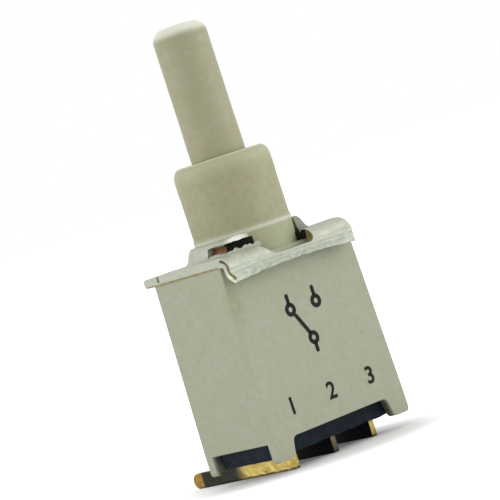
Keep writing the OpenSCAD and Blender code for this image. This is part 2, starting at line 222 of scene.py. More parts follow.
def new_box(name, low, high):
    """A box between two corners, placed in its mesh."""
    leave_edit_mode()
    centre = [(a + b) / 2 for a, b in zip(low, high)]
    bpy.ops.mesh.primitive_cube_add(size=1, location=centre)
    obj = bpy.context.object
    obj.name = name
    obj.scale = [b - a for a, b in zip(low, high)]
    settle(obj)
    return obj


def new_rod(name, radius, start, end, sides=96):
    """A round rod between two points."""
    leave_edit_mode()
    start, end = Vector(start), Vector(end)
    bpy.ops.mesh.primitive_cylinder_add(
        vertices=sides, radius=radius, depth=(end - start).length, location=(start + end) / 2
    )
    obj = bpy.context.object
    obj.name = name
    obj.rotation_euler = (end - start).to_track_quat("Z", "Y").to_euler()
    settle(obj)
    return obj


def cut_across(axis, places):
    """Cut the whole open mesh across one axis at several places."""
    normal = [0.0, 0.0, 0.0]
    normal[axis] = 1.0
    for place in places:
        bpy.ops.mesh.select_all(action="SELECT")
        point = [0.0, 0.0, 0.0]
        point[axis] = place
        bpy.ops.mesh.bisect(plane_co=point, plane_no=normal, threshold=1e-5)


def draw_out(offset):
    """Extrude the selection and move it."""
    bpy.ops.mesh.extrude_region_move(TRANSFORM_OT_translate={"value": offset})


def weigh(obj, weight, test):
    """Mark the edges that pass a test for the bevel."""
    pick(obj, "EDGE", test)
    bpy.ops.transform.edge_bevelweight(value=weight)


def modify(obj, kind, **settings):
    """Add a modifier, set it up and apply it."""
    only(obj)
    modifier = obj.modifiers.new(kind.title(), kind)
    for name, value in settings.items():
        setattr(modifier, name, value)
    bpy.ops.object.modifier_apply(modifier=modifier.name)


def boolean(obj, tool, operation="DIFFERENCE"):
    """Cut or join with another object, which is used up."""
    modify(obj, "BOOLEAN", object=tool, operation=operation, solver="EXACT")
    bpy.data.objects.remove(tool)


def tidy(obj):
    """Merge doubles and turn all faces outwards."""
    edit(obj)
    bpy.ops.mesh.select_all(action="SELECT")
    bpy.ops.mesh.remove_doubles(threshold=1e-4)
    bpy.ops.mesh.normals_make_consistent(inside=False)
    bpy.ops.object.mode_set(mode="OBJECT")


def joined(name, pieces):
    """One object made of several."""
    only(pieces[0])
    for piece in pieces[1:]:
        piece.select_set(True)
    if len(pieces) > 1:
        bpy.ops.object.join()
    obj = bpy.context.object
    obj.name = name
    return obj


def arc(centre, radius, start, end, steps):
    """Points of an arc in a radius-height outline, with angles in degrees."""
    points = []
    for i in range(steps + 1):
        angle = math.radians(start + (end - start) * i / steps)
        points.append((centre[0] + radius * math.cos(angle), centre[1] + radius * math.sin(angle)))
    return points


def turned(name, outline, sides=96, closed=True):
    """Lathe work: a circle drawn out ring by ring along an outline of (radius, height)."""
    leave_edit_mode()
    radius, height = outline[0]
    bpy.ops.mesh.primitive_circle_add(vertices=sides, radius=radius, location=(0, 0, height))
    obj = bpy.context.object
    obj.name = name
    settle(obj)
    edit(obj, "EDGE")
    bpy.ops.mesh.select_all(action="SELECT")
    if not closed:
        bpy.ops.mesh.edge_face_add()
        bpy.ops.mesh.select_mode(type="EDGE")
    path = outline[1:] + ([outline[0]] if closed else [])
    for new_radius, new_height in path:
        draw_out((0, 0, new_height - height))
        factor = new_radius / radius
        bpy.ops.transform.resize(value=(factor, factor, 1), center_override=(0, 0, new_height))
        radius, height = new_radius, new_height
    if not closed:
        bpy.ops.mesh.edge_face_add()
    tidy(obj)
    return obj


def ring_part(name, outline, start, end, steps):
    """A closed outline of (radius, height) spun round the axis from one angle to another."""
    leave_edit_mode()
    mesh = bpy.data.meshes.new(name)
    obj = bpy.data.objects.new(name, mesh)
    bpy.context.scene.collection.objects.link(obj)
    side = Vector((math.cos(math.radians(start)), math.sin(math.radians(start)), 0))
    section = bmesh.new()
    corners = [section.verts.new(side * r + Vector((0, 0, z))) for r, z in outline]
    section.faces.new(corners)
    section.to_mesh(mesh)
    section.free()
    edit(obj)
    bpy.ops.mesh.select_all(action="SELECT")
    bpy.ops.mesh.spin(
        steps=steps, angle=math.radians(end - start), center=(0, 0, 0), axis=(0, 0, -1)
    )
    tidy(obj)
    return obj


def ripple(point, size, seed):
    """Smooth noise from -1 to 1 with bumps of about a given size, in millimetres."""
    return noise.noise(Vector(point) / size + Vector((seed, seed * 0.37, -seed)))


def finish_piece(obj, material, body, nodes, smooth=35):
    """Shrink a piece from millimetres to metres, smooth it and hang it on its body."""
    obj.scale = (MM, MM, MM)
    settle(obj)
    bpy.ops.object.shade_smooth_by_angle(angle=math.radians(smooth))
    if material:
        obj.data.materials.clear()
        obj.data.materials.append(material)
    if nodes:
        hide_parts(*nodes)
    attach(obj, body)
    return obj


# ---------------------------------------------------------------- finishes


class Finish:
    """One procedural material that reads object coordinates, taken in millimetres."""

    def __init__(self, name, metallic=0.0, ior=1.5):
        self.material = bpy.data.materials.new(name)
        self.material.use_nodes = True
        self.tree = self.material.node_tree
        self.shader = self.tree.nodes["Principled BSDF"]
        self.shader.inputs["Metallic"].default_value = metallic
        self.shader.inputs["IOR"].default_value = ior
        place = self.add("ShaderNodeTexCoord").outputs["Object"]
        scale = self.add("ShaderNodeVectorMath", operation="SCALE")
        self.feed(scale.inputs[0], place)
        scale.inputs["Scale"].default_value = 1 / MM
        self.place = scale.outputs[0]
        self.height = None

    def add(self, kind, **settings):
        node = self.tree.nodes.new(kind)
        for name, value in settings.items():
            setattr(node, name, value)
        return node

    def feed(self, socket, value):
        """Link an output to a socket, or set the socket to a constant."""
        if isinstance(value, bpy.types.NodeSocket):
            self.tree.links.new(value, socket)
        elif socket.type == "RGBA" and len(value) == 3:
            socket.default_value = (*value, 1.0)
        else:
            socket.default_value = value

    def stretched(self, factors):
        """The place with each axis scaled, for scratches and streaks."""
        node = self.add("ShaderNodeVectorMath", operation="MULTIPLY")
        self.feed(node.inputs[0], self.place)
        node.inputs[1].default_value = factors
        return node.outputs[0]

    def grain(self, size, detail=2.0, rough=0.5, seed=0.0, place=None):
        """Noise from 0 to 1 with spots of about a given size."""
        node = self.add("ShaderNodeTexNoise", noise_dimensions="4D")
        self.feed(node.inputs["Vector"], place or self.place)
        node.inputs["W"].default_value = seed
        node.inputs["Scale"].default_value = 1 / size
        node.inputs["Detail"].default_value = detail
        node.inputs["Roughness"].default_value = rough
        return node.outputs["Fac"]

    def ramp(self, value, low, high, out_low=0.0, out_high=1.0):
        """A value eased from one range to another."""
        node = self.add("ShaderNodeMapRange", interpolation_type="SMOOTHSTEP")
        self.feed(node.inputs["Value"], value)
        node.inputs["From Min"].default_value = low
        node.inputs["From Max"].default_value = high
        node.inputs["To Min"].default_value = out_low
        node.inputs["To Max"].default_value = out_high
        return node.outputs["Result"]

    def sum_of(self, first, second, operation="ADD"):
        """Two values added, or put together by another operation."""
        node = self.add("ShaderNodeMath", operation=operation)
        self.feed(node.inputs[0], first)
        self.feed(node.inputs[1], second)
        return node.outputs[0]

    def times(self, first, second):
        """Two values multiplied, such as two shares that both have to hold."""
        return self.sum_of(first, second, "MULTIPLY")

    def without(self, share):
        """1 where a share is 0, and 0 where it is 1."""
        return self.sum_of(1.0, share, "SUBTRACT")

    def near(self, centre, inner, outer, factors=(1, 1, 1)):
        """1 near a point, easing to 0 at an outer distance."""
        shift = self.add("ShaderNodeVectorMath", operation="SUBTRACT")
        self.feed(shift.inputs[0], self.place)
        shift.inputs[1].default_value = centre
        squeeze = self.add("ShaderNodeVectorMath", operation="MULTIPLY")
        self.feed(squeeze.inputs[0], shift.outputs[0])
        squeeze.inputs[1].default_value = factors
        size = self.add("ShaderNodeVectorMath", operation="LENGTH")
        self.feed(size.inputs[0], squeeze.outputs[0])
        return self.ramp(size.outputs["Value"], inner, outer, 1.0, 0.0)

    def along(self, axis, low, high):
        """0 before a place on one axis and 1 past another."""
        split = self.add("ShaderNodeSeparateXYZ")
        self.feed(split.inputs[0], self.place)
        return self.ramp(split.outputs[axis], low, high)

    def blend(self, share, first, second):
        """A colour that goes from the first to the second as the share grows."""
        node = self.add("ShaderNodeMix", data_type="RGBA")
        self.feed(node.inputs["Factor"], share)
        self.feed(node.inputs[6], first)
        self.feed(node.inputs[7], second)
        return node.outputs[2]

    def colour(self, value):
        self.feed(self.shader.inputs["Base Color"], value)

    def roughness(self, value):
        self.feed(self.shader.inputs["Roughness"], value)

    def bump(self, height, depth, strength=1.0):
        """Add a relief whose full height is depth millimetres."""
        node = self.add("ShaderNodeBump")
        node.inputs["Strength"].default_value = strength
        node.inputs["Distance"].default_value = depth * MM
        self.feed(node.inputs["Height"], height)
        if self.height:
            self.feed(node.inputs["Normal"], self.height)
        self.height = node.outputs["Normal"]
        self.feed(self.shader.inputs["Normal"], self.height)


def shade(base, factor, warmth=0.0):
    """A colour made lighter or darker, and warmer or cooler."""
    red, green, blue = base
    return (
        min(1.0, red * factor * (1 + warmth)),
        min(1.0, green * factor),
        min(1.0, blue * factor * (1 - warmth)),
    )


def moulded(name, base, spot, rough=0.5, blotch=0.05):
    """Moulded plastic: cloudy tone, tan blotches, fine grain, dark specks, uneven skin."""
    skin = Finish(name)
    cloud = skin.ramp(skin.grain(spot * 3, 3.0, 0.55, 1.0), 0.3, 0.7)
    tone = skin.blend(cloud, shade(base, 0.96, 0.02), shade(base, 1.05, -0.03))
    mottle = skin.ramp(skin.grain(spot, 4.0, 0.6, 4.0), 0.35, 0.65)
    tone = skin.blend(skin.times(mottle, 0.8), tone, shade(base, 1 - blotch, blotch * 0.7))
    fine = skin.ramp(skin.grain(0.09, 3.0, 0.65, 12.0), 0.3, 0.7)
    tone = skin.blend(skin.times(fine, 0.5), tone, shade(base, 1.09, -0.05))
    dust = skin.ramp(skin.grain(0.05, 1.0, 0.5, 9.0), 0.66, 0.72)
    rare = skin.ramp(skin.grain(0.9, 1.0, 0.5, 14.0), 0.58, 0.66)
    speck = skin.times(dust, rare)
    tone = skin.blend(skin.times(speck, 0.7), tone, shade(base, 0.45, 0.1))
    skin.tone = tone
    skin.colour(tone)
    skin.roughness(skin.ramp(mottle, 0.0, 1.0, rough - 0.05, rough + 0.07))
    skin.bump(skin.grain(spot * 2, 2.0, 0.5, 2.0), 0.014)
    skin.bump(skin.grain(0.06, 2.0, 0.6, 6.0), 0.0025)
    return skin


def case_plastic():
    """Housing plastic: a smear below the plate mixed with the lip's painted shadow, a paler painted
    band under the plate, painted shade inside the feet, one fleck.
    """
    base = bpy.context.scene.switch_colours.case
    skin = moulded("case_plastic", base, 0.28, 0.52, 0.07)
    # Smear and painted shade together: the lip's shadow on the front face near the left edge,
    # painted as a dull, greener patch.
    corner = (CASE_LOW.x + 0.42, CASE_LOW.y, CASE_LOW.z + 7.2)
    smudge_and_painted_light = skin.near(corner, 0.1, 0.85, (1.2, 1, 0.5))
    patchy = skin.ramp(skin.grain(0.3, 3.0, 0.6, 21.0), 0.35, 0.65, 0.4, 1.0)
    share = skin.times(skin.times(smudge_and_painted_light, patchy), 0.8)
    tone = skin.blend(share, skin.tone, (base[0] * 0.79, base[1] * 0.80, base[2] * 0.62))
    # Painted light: the upper part of the front face, below the plate, is made paler to lift the
    # shade under the lip.
    band = skin.along("Z", CASE_HIGH.z - 1.7, CASE_HIGH.z - 0.9)
    front = skin.without(skin.along("Y", CASE_LOW.y + 0.02, CASE_LOW.y + 0.1))
    tone = skin.blend(skin.times(band, front), tone, shade(base, 1.22))
    # Painted shade: the inner faces of the feet, below and under the housing's edge, are darkened
    # unevenly.
    edge_z = CASE_LOW.z + mm_sizes()["foot_height"]
    low = skin.without(skin.along("Z", edge_z - 0.12, edge_z + 0.02))
    inside = 1.0
    for axis, near, far in (("X", CASE_LOW.x, CASE_HIGH.x), ("Y", CASE_LOW.y, CASE_HIGH.y)):
        inside = skin.times(inside, skin.along(axis, near + 0.03, near + 0.25))
        beyond = skin.along(axis, far - 0.25, far - 0.03)
        inside = skin.times(inside, skin.without(beyond))
    reach = skin.times(low, inside)
    uneven = skin.ramp(skin.grain(0.3, 3.0, 0.6, 25.0), 0.3, 0.6, 0.75, 1.0)
    painted_shade = skin.times(reach, uneven)
    tone = skin.blend(skin.times(painted_shade, 0.9), tone, (0.05, 0.052, 0.048))
    fleck = skin.near((CASE_HIGH.x - 1.35, CASE_LOW.y, CASE_LOW.z + 4.1), 0.03, 0.09, (1, 0.2, 1.5))
    tone = skin.blend(skin.times(fleck, 0.6), tone, shade(base, 0.4, 0.15))
    skin.colour(tone)
    return skin.material


def bushing_plastic():
    """Bushing plastic, blotchy and tan on the barrel; painted light makes it paler on the neck and
    towards the mouth, with painted highlights under the ledge and on the mouth's edge.
    """
    base = bpy.context.scene.switch_colours.bushing
    skin = moulded("bushing_plastic", base, 0.34, 0.5, 0.14)
    ledge = PLATE_TOP + mm_sizes()["neck_height"]
    # Painted light: the neck is made paler in patches, for light thrown up from the plate.
    neck = skin.without(skin.along("Z", ledge - 0.06, ledge + 0.1))
    patchy_light = skin.ramp(skin.grain(0.3, 4.0, 0.65, 31.0), 0.3, 0.7, 0.45, 0.95)
    tone = skin.blend(skin.times(neck, patchy_light), skin.tone, shade(base, 1.14, -0.06))
    # Painted highlight: a pale band just under the ledge, on the neck's upper edge.
    below = skin.without(skin.along("Z", ledge - 0.12, ledge - 0.03))
    rim = skin.times(skin.along("Z", ledge - 0.29, ledge - 0.19), below)
    tone = skin.blend(skin.times(rim, 0.36), tone, (0.9, 0.9, 0.85))
    # Painted light: the barrel is made paler towards its rounded top, which faces the light.
    mouth = skin.along("Z", BUSH_HIGH.z - 1.0, BUSH_HIGH.z - 0.3)
    tone = skin.blend(skin.times(mouth, 0.7), tone, shade(base, 1.28, -0.05))
    # Painted highlight: a bright line along the edge of the mouth, in patches.
    mouth_highlight = skin.along("Z", BUSH_HIGH.z - 0.09, BUSH_HIGH.z - 0.03)
    skin.colour(skin.blend(skin.times(mouth_highlight, patchy_light), tone, shade(base, 1.9, -0.1)))
    return skin.material


def plunger_plastic():
    """Plunger plastic, yellowed where it enters the bushing, with painted highlights making its
    rounded end pale.
    """
    base = bpy.context.scene.switch_colours.plunger
    skin = moulded("plunger_plastic", base, 0.3, 0.46, 0.10)
    skin.shader.inputs["Specular IOR Level"].default_value = 0.3
    upper = skin.along("Z", BUSH_HIGH.z + 0.1, BUSH_HIGH.z + 1.6)
    lower = skin.without(upper)
    tone = skin.blend(skin.times(lower, 0.6), skin.tone, shade(base, 1.05, 0.04))
    # Painted highlight: the rounded end is made pale where it faces the light, in patches, and
    # paler again at its tip.
    end = skin.along("Z", PLUNGER_HIGH.z - 0.62, PLUNGER_HIGH.z - 0.24)
    smudge_and_painted_light = skin.ramp(skin.grain(0.35, 4.0, 0.6, 33.0), 0.3, 0.7, 0.82, 1.0)
    tone = skin.blend(skin.times(end, smudge_and_painted_light), tone, (0.82, 0.83, 0.70))
    tip = skin.along("Z", PLUNGER_HIGH.z - 0.22, PLUNGER_HIGH.z - 0.06)
    skin.colour(skin.blend(skin.times(tip, 0.6), tone, (0.78, 0.82, 0.80)))
    return skin.material


def tinned_sheet():
    """Tin on steel: cloudy plating, scratches, small dents, stains, a lip made paler by painted
    light and two painted highlights by the left claw's window.
    """
    base = bpy.context.scene.switch_colours.tin
    sheet = Finish("tinned_sheet", metallic=0.4)
    cloud = sheet.ramp(sheet.grain(0.35, 4.0, 0.6, 3.0), 0.3, 0.7)
    tone = sheet.blend(cloud, shade(base, 0.84, 0.05), shade(base, 1.08, -0.02))
    # Painted light: the lip below the plate is made much paler in patches, for light bounced up
    # onto it from the floor.
    lower = sheet.without(sheet.along("Z", CASE_HIGH.z - 0.75, CASE_HIGH.z - 0.1))
    patchy_lip_light = sheet.ramp(sheet.grain(0.22, 3.0, 0.6, 17.0), 0.35, 0.65, 0.45, 1.0)
    tone = sheet.blend(sheet.times(lower, patchy_lip_light), tone, shade(base, 1.75, -0.03))
    # Painted highlights: two pale spots on the left claw, at the window's top bar and by its torn
    # end.
    for degrees, rise, inner, outer in ((219, 0.56, 0.3, 0.66), (235, 0.34, 0.15, 0.36)):
        turn = math.radians(degrees)
        glint_place = (CLAW_INSIDE * math.cos(turn), CLAW_INSIDE * math.sin(turn), PLATE_TOP + rise)
        bright = sheet.near(glint_place, inner, outer, (1, 1, 2.5))
        tone = sheet.blend(sheet.times(bright, 0.8), tone, (1.0, 1.0, 0.96))
    spot = sheet.ramp(sheet.grain(0.12, 3.0, 0.6, 8.0), 0.62, 0.74)
    tone = sheet.blend(sheet.times(spot, 0.4), tone, shade(base, 0.42, 0.16))
    sheet.colour(tone)
    streak = sheet.grain(0.08, 3.0, 0.65, 5.0, sheet.stretched((0.25, 1.0, 1.0)))
    sheet.roughness(sheet.ramp(sheet.sum_of(streak, cloud), 0.6, 1.4, 0.42, 0.68))
    sheet.bump(sheet.grain(0.4, 3.0, 0.6, 1.0), 0.06)
    sheet.bump(streak, 0.005)
    return sheet.material


def cut_sheet():
    """Bare sheared metal, brown and streaked across the thickness."""
    base = bpy.context.scene.switch_colours.cut_edge
    edge = Finish("cut_sheet", metallic=0.6)
    streak = edge.grain(0.07, 3.0, 0.6, 2.0, edge.stretched((1.0, 1.0, 0.3)))
    tone = edge.blend(edge.ramp(streak, 0.3, 0.7), shade(base, 0.6, 0.1), shade(base, 1.5, 0.0))
    edge.colour(tone)
    edge.roughness(edge.ramp(streak, 0.3, 0.7, 0.4, 0.6))
    edge.bump(streak, 0.012)
    return edge.material


def gold_plate(name, painted_shade, end_shade):
    """Gold plating with painted shade: purple-brown below, dark along the middle of the leg, and as
    asked dark on the front end and on the sides; brown at the rear tip.
    """
    base = bpy.context.scene.switch_colours.gold
    plate = Finish(name, metallic=1.0)
    cloud = plate.ramp(plate.grain(0.3, 4.0, 0.6, 7.0), 0.3, 0.7)
    tone = plate.blend(cloud, shade(base, 0.72, 0.06), shade(base, 1.1, -0.06))
    uneven = plate.grain(0.3, 3.0, 0.6, 4.0)
    # Painted shade: purple-brown on the underside and lowest part of the leg, unevenly.
    foot = plate.ramp(plate.sum_of(plate.along("Z", 0.02, 0.2), uneven), 0.5, 0.95, 0.85, 0.0)
    tone = plate.blend(foot, tone, (0.055, 0.030, 0.045))
    # Painted shade: the leg is dark from about Y 2.6 back to its rear tip, where it runs in shadow.
    behind = plate.sum_of(plate.along("Y", 1.5, 2.6), plate.along("Y", 4.85, 5.15), "SUBTRACT")
    tone = plate.blend(plate.times(behind, 0.975), tone, (0.016, 0.022, 0.022))
    tip = plate.along("Y", 4.8, 5.1)
    tone = plate.blend(plate.times(tip, 0.85), tone, (0.27, 0.145, 0.03))
    # Painted shade: the front end face is made dark grey, as strongly as the leg asks.
    front = plate.without(plate.along("Y", LEG_LOW.y + 0.015, LEG_LOW.y + 0.05))
    end_shade_share = plate.times(front, end_shade)
    tone = plate.blend(end_shade_share, tone, (0.085, 0.078, 0.070))
    # Painted shade: the sides are made dark blue-black, for shade and dark reflections between the
    # legs.
    sides = plate.without(front)
    patchy = plate.ramp(uneven, 0.1, 0.35, 0.94, 1.0)
    side_shade = plate.times(plate.times(sides, painted_shade), patchy)
    plate.colour(plate.blend(side_shade, tone, (0.012, 0.016, 0.026)))
    plate.roughness(plate.ramp(plate.sum_of(cloud, plate.times(side_shade, 1.5)), 0.0, 2.0, 0.28, 0.6))
    streak = plate.grain(0.05, 3.0, 0.6, 2.0, plate.stretched((1.0, 0.15, 1.0)))
    plate.bump(plate.grain(0.3, 2.0, 0.5, 1.0), 0.03)
    plate.bump(streak, 0.004)
    return plate.material


def sealing_resin():
    """Cast blue-black compound with a dusty bloom."""
    base = bpy.context.scene.switch_colours.resin
    resin = Finish("sealing_compound", ior=1.52)
    resin.shader.inputs["Specular IOR Level"].default_value = 0.12
    cloud = resin.ramp(resin.grain(0.5, 4.0, 0.6, 2.0), 0.35, 0.7)
    tone = resin.blend(cloud, base, shade(base, 2.2, 0.05))
    bloom = resin.ramp(resin.grain(0.1, 4.0, 0.7, 6.0), 0.52, 0.75)
    tone = resin.blend(resin.times(bloom, 0.25), tone, (0.07, 0.09, 0.11))
    resin.colour(tone)
    resin.roughness(resin.ramp(cloud, 0.0, 1.0, 0.34, 0.55))
    resin.bump(resin.grain(0.4, 3.0, 0.5, 9.0), 0.03)
    return resin.material


def neck_bead():
    """Cured red-brown sealant."""
    base = bpy.context.scene.switch_colours.bead
    bead = Finish("sealant")
    bead.shader.inputs["Specular IOR Level"].default_value = 0.3
    cloud = bead.ramp(bead.grain(0.15, 3.0, 0.6, 5.0), 0.3, 0.7)
    bead.colour(bead.blend(cloud, shade(base, 0.7), shade(base, 1.35, -0.1)))
    bead.roughness(bead.ramp(cloud, 0.0, 1.0, 0.3, 0.5))
    bead.bump(bead.grain(0.12, 2.0, 0.5, 3.0), 0.02)
    return bead.material


def gap_residue():
    """Painted shade: dark green-black for the shadowed gap beside the neck, turning olive higher up
    on the right.
    """
    painted_gap = Finish("gap_residue")
    painted_gap.shader.inputs["Specular IOR Level"].default_value = 0.1
    cloud = painted_gap.ramp(painted_gap.grain(0.12, 3.0, 0.6, 5.0), 0.35, 0.7)
    tone = painted_gap.blend(cloud, (0.004, 0.005, 0.003), (0.016, 0.018, 0.010))
    upper = painted_gap.along("Z", PLATE_TOP - 0.05, PLATE_TOP + 0.35)
    right = painted_gap.along("X", 0.6, 1.0)
    painted_gap.colour(painted_gap.blend(painted_gap.times(upper, right), tone, (0.12, 0.125, 0.045)))
    painted_gap.roughness(painted_gap.ramp(cloud, 0.0, 1.0, 0.35, 0.6))
    painted_gap.bump(painted_gap.grain(0.1, 2.0, 0.5, 3.0), 0.02)
    return painted_gap.material


def printing_ink():
    """Black pad-printing ink, thin in places."""
    base = bpy.context.scene.switch_colours.ink
    ink = Finish("printing_ink")
    ink.shader.inputs["Specular IOR Level"].default_value = 0.15
    thin = ink.ramp(ink.grain(0.07, 3.0, 0.65, 3.0), 0.55, 0.8)
    ink.colour(ink.blend(ink.times(thin, 0.35), base, (0.08, 0.08, 0.06)))
    ink.roughness(ink.ramp(thin, 0.0, 1.0, 0.38, 0.6))
    ink.bump(ink.grain(0.06, 2.0, 0.5, 8.0), 0.004)
    return ink.material


def plain_finish(name, base, rough, spot, depth, metallic=0.0):
    """A simple finish for a hidden piece: two tones, uneven gloss and a fine relief."""
    finish = Finish(name, metallic=metallic)
    cloud = finish.ramp(finish.grain(spot, 3.0, 0.6, 2.0), 0.3, 0.7)
    finish.colour(finish.blend(cloud, shade(base, 0.82), shade(base, 1.12)))
    finish.roughness(finish.ramp(cloud, 0.0, 1.0, rough - 0.06, rough + 0.08))
    finish.bump(finish.grain(spot * 0.4, 2.0, 0.5, 7.0), depth)
    return finish.material


# Finishes of the pieces inside: colour, roughness, size of the spots, relief and metal.
HIDDEN = {
    "base_moulding": ((0.033, 0.033, 0.04), 0.55, 0.25, 0.006),
    "contact_gold": ((0.86, 0.62, 0.22), 0.22, 0.15, 0.003, 1.0),
    "stop_rubber": ((0.017, 0.017, 0.018), 0.75, 0.1, 0.006),
    "seal_rubber": ((0.010, 0.010, 0.010), 0.6, 0.12, 0.005),
    "carrier_plastic": ((0.60, 0.58, 0.50), 0.5, 0.4, 0.006),
    "spring_steel": ((0.52, 0.53, 0.55), 0.3, 0.1, 0.003, 1.0),
    "seat_fibre": ((0.34, 0.29, 0.19), 0.8, 0.08, 0.01),
}
SLOT_OF = {
    "base_insulator": "base_moulding",
    "fixed_contact_nc": "contact_gold",
    "fixed_contact_common": "contact_gold",
    "fixed_contact_no": "contact_gold",
    "plunger_seal": "seal_rubber",
    "stop_ring": "stop_rubber",
    "contact_carrier": "carrier_plastic",
    "moving_contact": "contact_gold",
    "contact_spring": "spring_steel",
    "spring_seat": "seat_fibre",
}


# ---------------------------------------------------------------- pieces


class SWITCH_OT_housing(bpy.types.Operator):
    """Housing: a drafted shell with four corner feet, open below and bored on top"""

    bl_idname = "switch.housing"
    bl_label = "Housing"

    def execute(self, context):
        size = mm_sizes()
        edge_z = CASE_LOW.z + size["foot_height"]
        foot_x = CASE_HIGH.x - size["foot_width"]
        foot_y = CASE_HIGH.y - size["foot_depth"]
        hollow_x, hollow_y = BASE_HIGH.x, BASE_HIGH.y
        case = new_box("housing_shell", (CASE_LOW.x, CASE_LOW.y, edge_z), CASE_HIGH)
        edit(case)
        cut_across(0, (-hollow_x, -foot_x, foot_x, hollow_x))
        cut_across(1, (-foot_y, -hollow_y, hollow_y, foot_y))
        pick(case, "VERT", lambda v: v.co.z > CASE_HIGH.z - 0.01)
        narrow = (
            1 - size["case_draft"] / CASE_HIGH.x,
            1 - 0.56 * size["case_draft"] / CASE_HIGH.y,
            1,
        )
        bpy.ops.transform.resize(value=narrow, center_override=(0, 0, CASE_HIGH.z))

        def in_hollow(face):
            spot = middle(face)
            inside = abs(spot.x) < hollow_x and abs(spot.y) < hollow_y
            return inside and abs(spot.z - edge_z) < 0.01

        def in_foot(face):
            spot = middle(face)
            corner = abs(spot.x) > foot_x and abs(spot.y) > foot_y
            return corner and abs(spot.z - edge_z) < 0.01

        pick(case, "FACE", in_hollow)
        draw_out((0, 0, BUSH_LOW.z - edge_z))
        pick(case, "FACE", in_foot)
        draw_out((0, 0, -size["foot_height"]))

        def inner_toe(vert):
            return vert.co.z < CASE_LOW.z + 0.01 and abs(abs(vert.co.x) - foot_x) < 0.01

        pick(case, "VERT", inner_toe)
        bpy.ops.transform.resize(
            value=((foot_x + 0.2) / foot_x, 1, 1), center_override=(0, 0, CASE_LOW.z)
        )
        bpy.ops.mesh.select_all(action="SELECT")
        bpy.ops.mesh.dissolve_limited(angle_limit=math.radians(0.5))

        def foot_end(edge):
            spot = middle(edge)
            run = span(edge)
            return spot.z < CASE_LOW.z + 0.01 and abs(run.y) > 0.2 and abs(run.x) < 0.1

        def foot_root(edge):
            spot = middle(edge)
            inside = abs(abs(spot.x) - foot_x) < 0.05 and abs(spot.y) > foot_y
            return inside and abs(spot.z - edge_z) < 0.02 and abs(span(edge).y) > 0.2

        pick(case, "EDGE", foot_end)
        bpy.ops.mesh.bevel(offset=0.2, segments=5, affect="EDGES")
        pick(case, "EDGE", foot_root)
        bpy.ops.mesh.bevel(offset=0.22, segments=4, affect="EDGES")

        def outside(edge):
            spot = middle(edge)
            return abs(spot.x) > hollow_x + 0.02 or abs(spot.y) > hollow_y + 0.02

        def upright(edge):
            spot = middle(edge)
            run = span(edge)
            at_corner = abs(spot.x) > CASE_HIGH.x - 0.3 and abs(spot.y) > CASE_HIGH.y - 0.2
            return at_corner and abs(run.z) > 0.9 * run.length

        weigh(case, 0.35, outside)
        weigh(case, 0.65, upright)
        weigh(case, 0.25, lambda e: middle(e).z < CASE_LOW.z + 0.01)
        leave_edit_mode()
        modify(
            case,
            "BEVEL",
            limit_method="WEIGHT",
            width=size["case_edge"],
            segments=4,
            use_clamp_overlap=True,
        )
        bore = new_rod("bore", 1.75, (0, 0, BUSH_LOW.z - 0.5), (0, 0, CASE_HIGH.z + 0.5))
        boolean(case, bore)
        low, high = CASE_HIGH.z - 0.35, CASE_HIGH.z + 0.5
        inner, outer = 2.281, 2.55
        ring = [(inner, low), (outer, low), (outer, high), (inner, high)]
        pocket = turned("pocket", ring)
        keep = new_box("keep", (-4, -hollow_y, low - 1), (4, hollow_y, high + 1))
        boolean(pocket, keep, "INTERSECT")
        boolean(case, pocket)
        tidy(case)
        finish_piece(case, case_plastic(), FIXED, ["housing"])
        modify(case, "WEIGHTED_NORMAL", keep_sharp=True)
        return {"FINISHED"}


def plate_path():
    """Middle line of the bent sheet from the back to the lip's end, as (y, z)."""
    middle_z = PLATE_TOP - mm_sizes()["sheet"] / 2
    rear = PLATE_HIGH.y
    skirt_y = BEND_Y - BEND_RADIUS
    points = [(rear + (BEND_Y - rear) * i / 32, middle_z) for i in range(33)]
    points += arc((BEND_Y, middle_z - BEND_RADIUS), BEND_RADIUS, 90, 180, 8)[1:]
    low = points[-1][1] - SKIRT_DROP
    points.append((skirt_y, low))
    points += arc((skirt_y - BEND_RADIUS, low), BEND_RADIUS, 0, -50, 6)[1:]
    y, z = points[-1]
    for step in (0.12, 0.25, LIP_LENGTH):
        points.append((y - step * math.sin(LIP_LEAN), z - step * math.cos(LIP_LEAN)))
    return points


def on_sheet(path, y, z):
    """How far a point lies along the sheet's middle line and out of it, and the line's length."""
    best = None
    run = 0.0
    for (y0, z0), (y1, z1) in zip(path, path[1:]):
        dy, dz = y1 - y0, z1 - z0
        size = math.hypot(dy, dz)
        share = min(max(((y - y0) * dy + (z - z0) * dz) / size**2, 0.0), 1.0)
        gap = math.hypot(y - y0 - share * dy, z - z0 - share * dz)
        if best is None or gap < best[0]:
            side = ((y - y0) * dz - (z - z0) * dy) / size
            best = (gap, run + share * size, side)
        run += size
    return best[1], best[2], run


def corner_inset(x, y):
    """How far a place in plan lies inside the plate's right end and its round corner."""
    if x > CORNER_X and y < CORNER_Y:
        return CORNER_RADIUS - math.hypot(x - CORNER_X, y - CORNER_Y)
    return PLATE_HIGH.x - x


def ease(value):
    """A share held between 0 and 1, and flat at both ends."""
    value = min(max(value, 0.0), 1.0)
    return value * value * (3 - 2 * value)


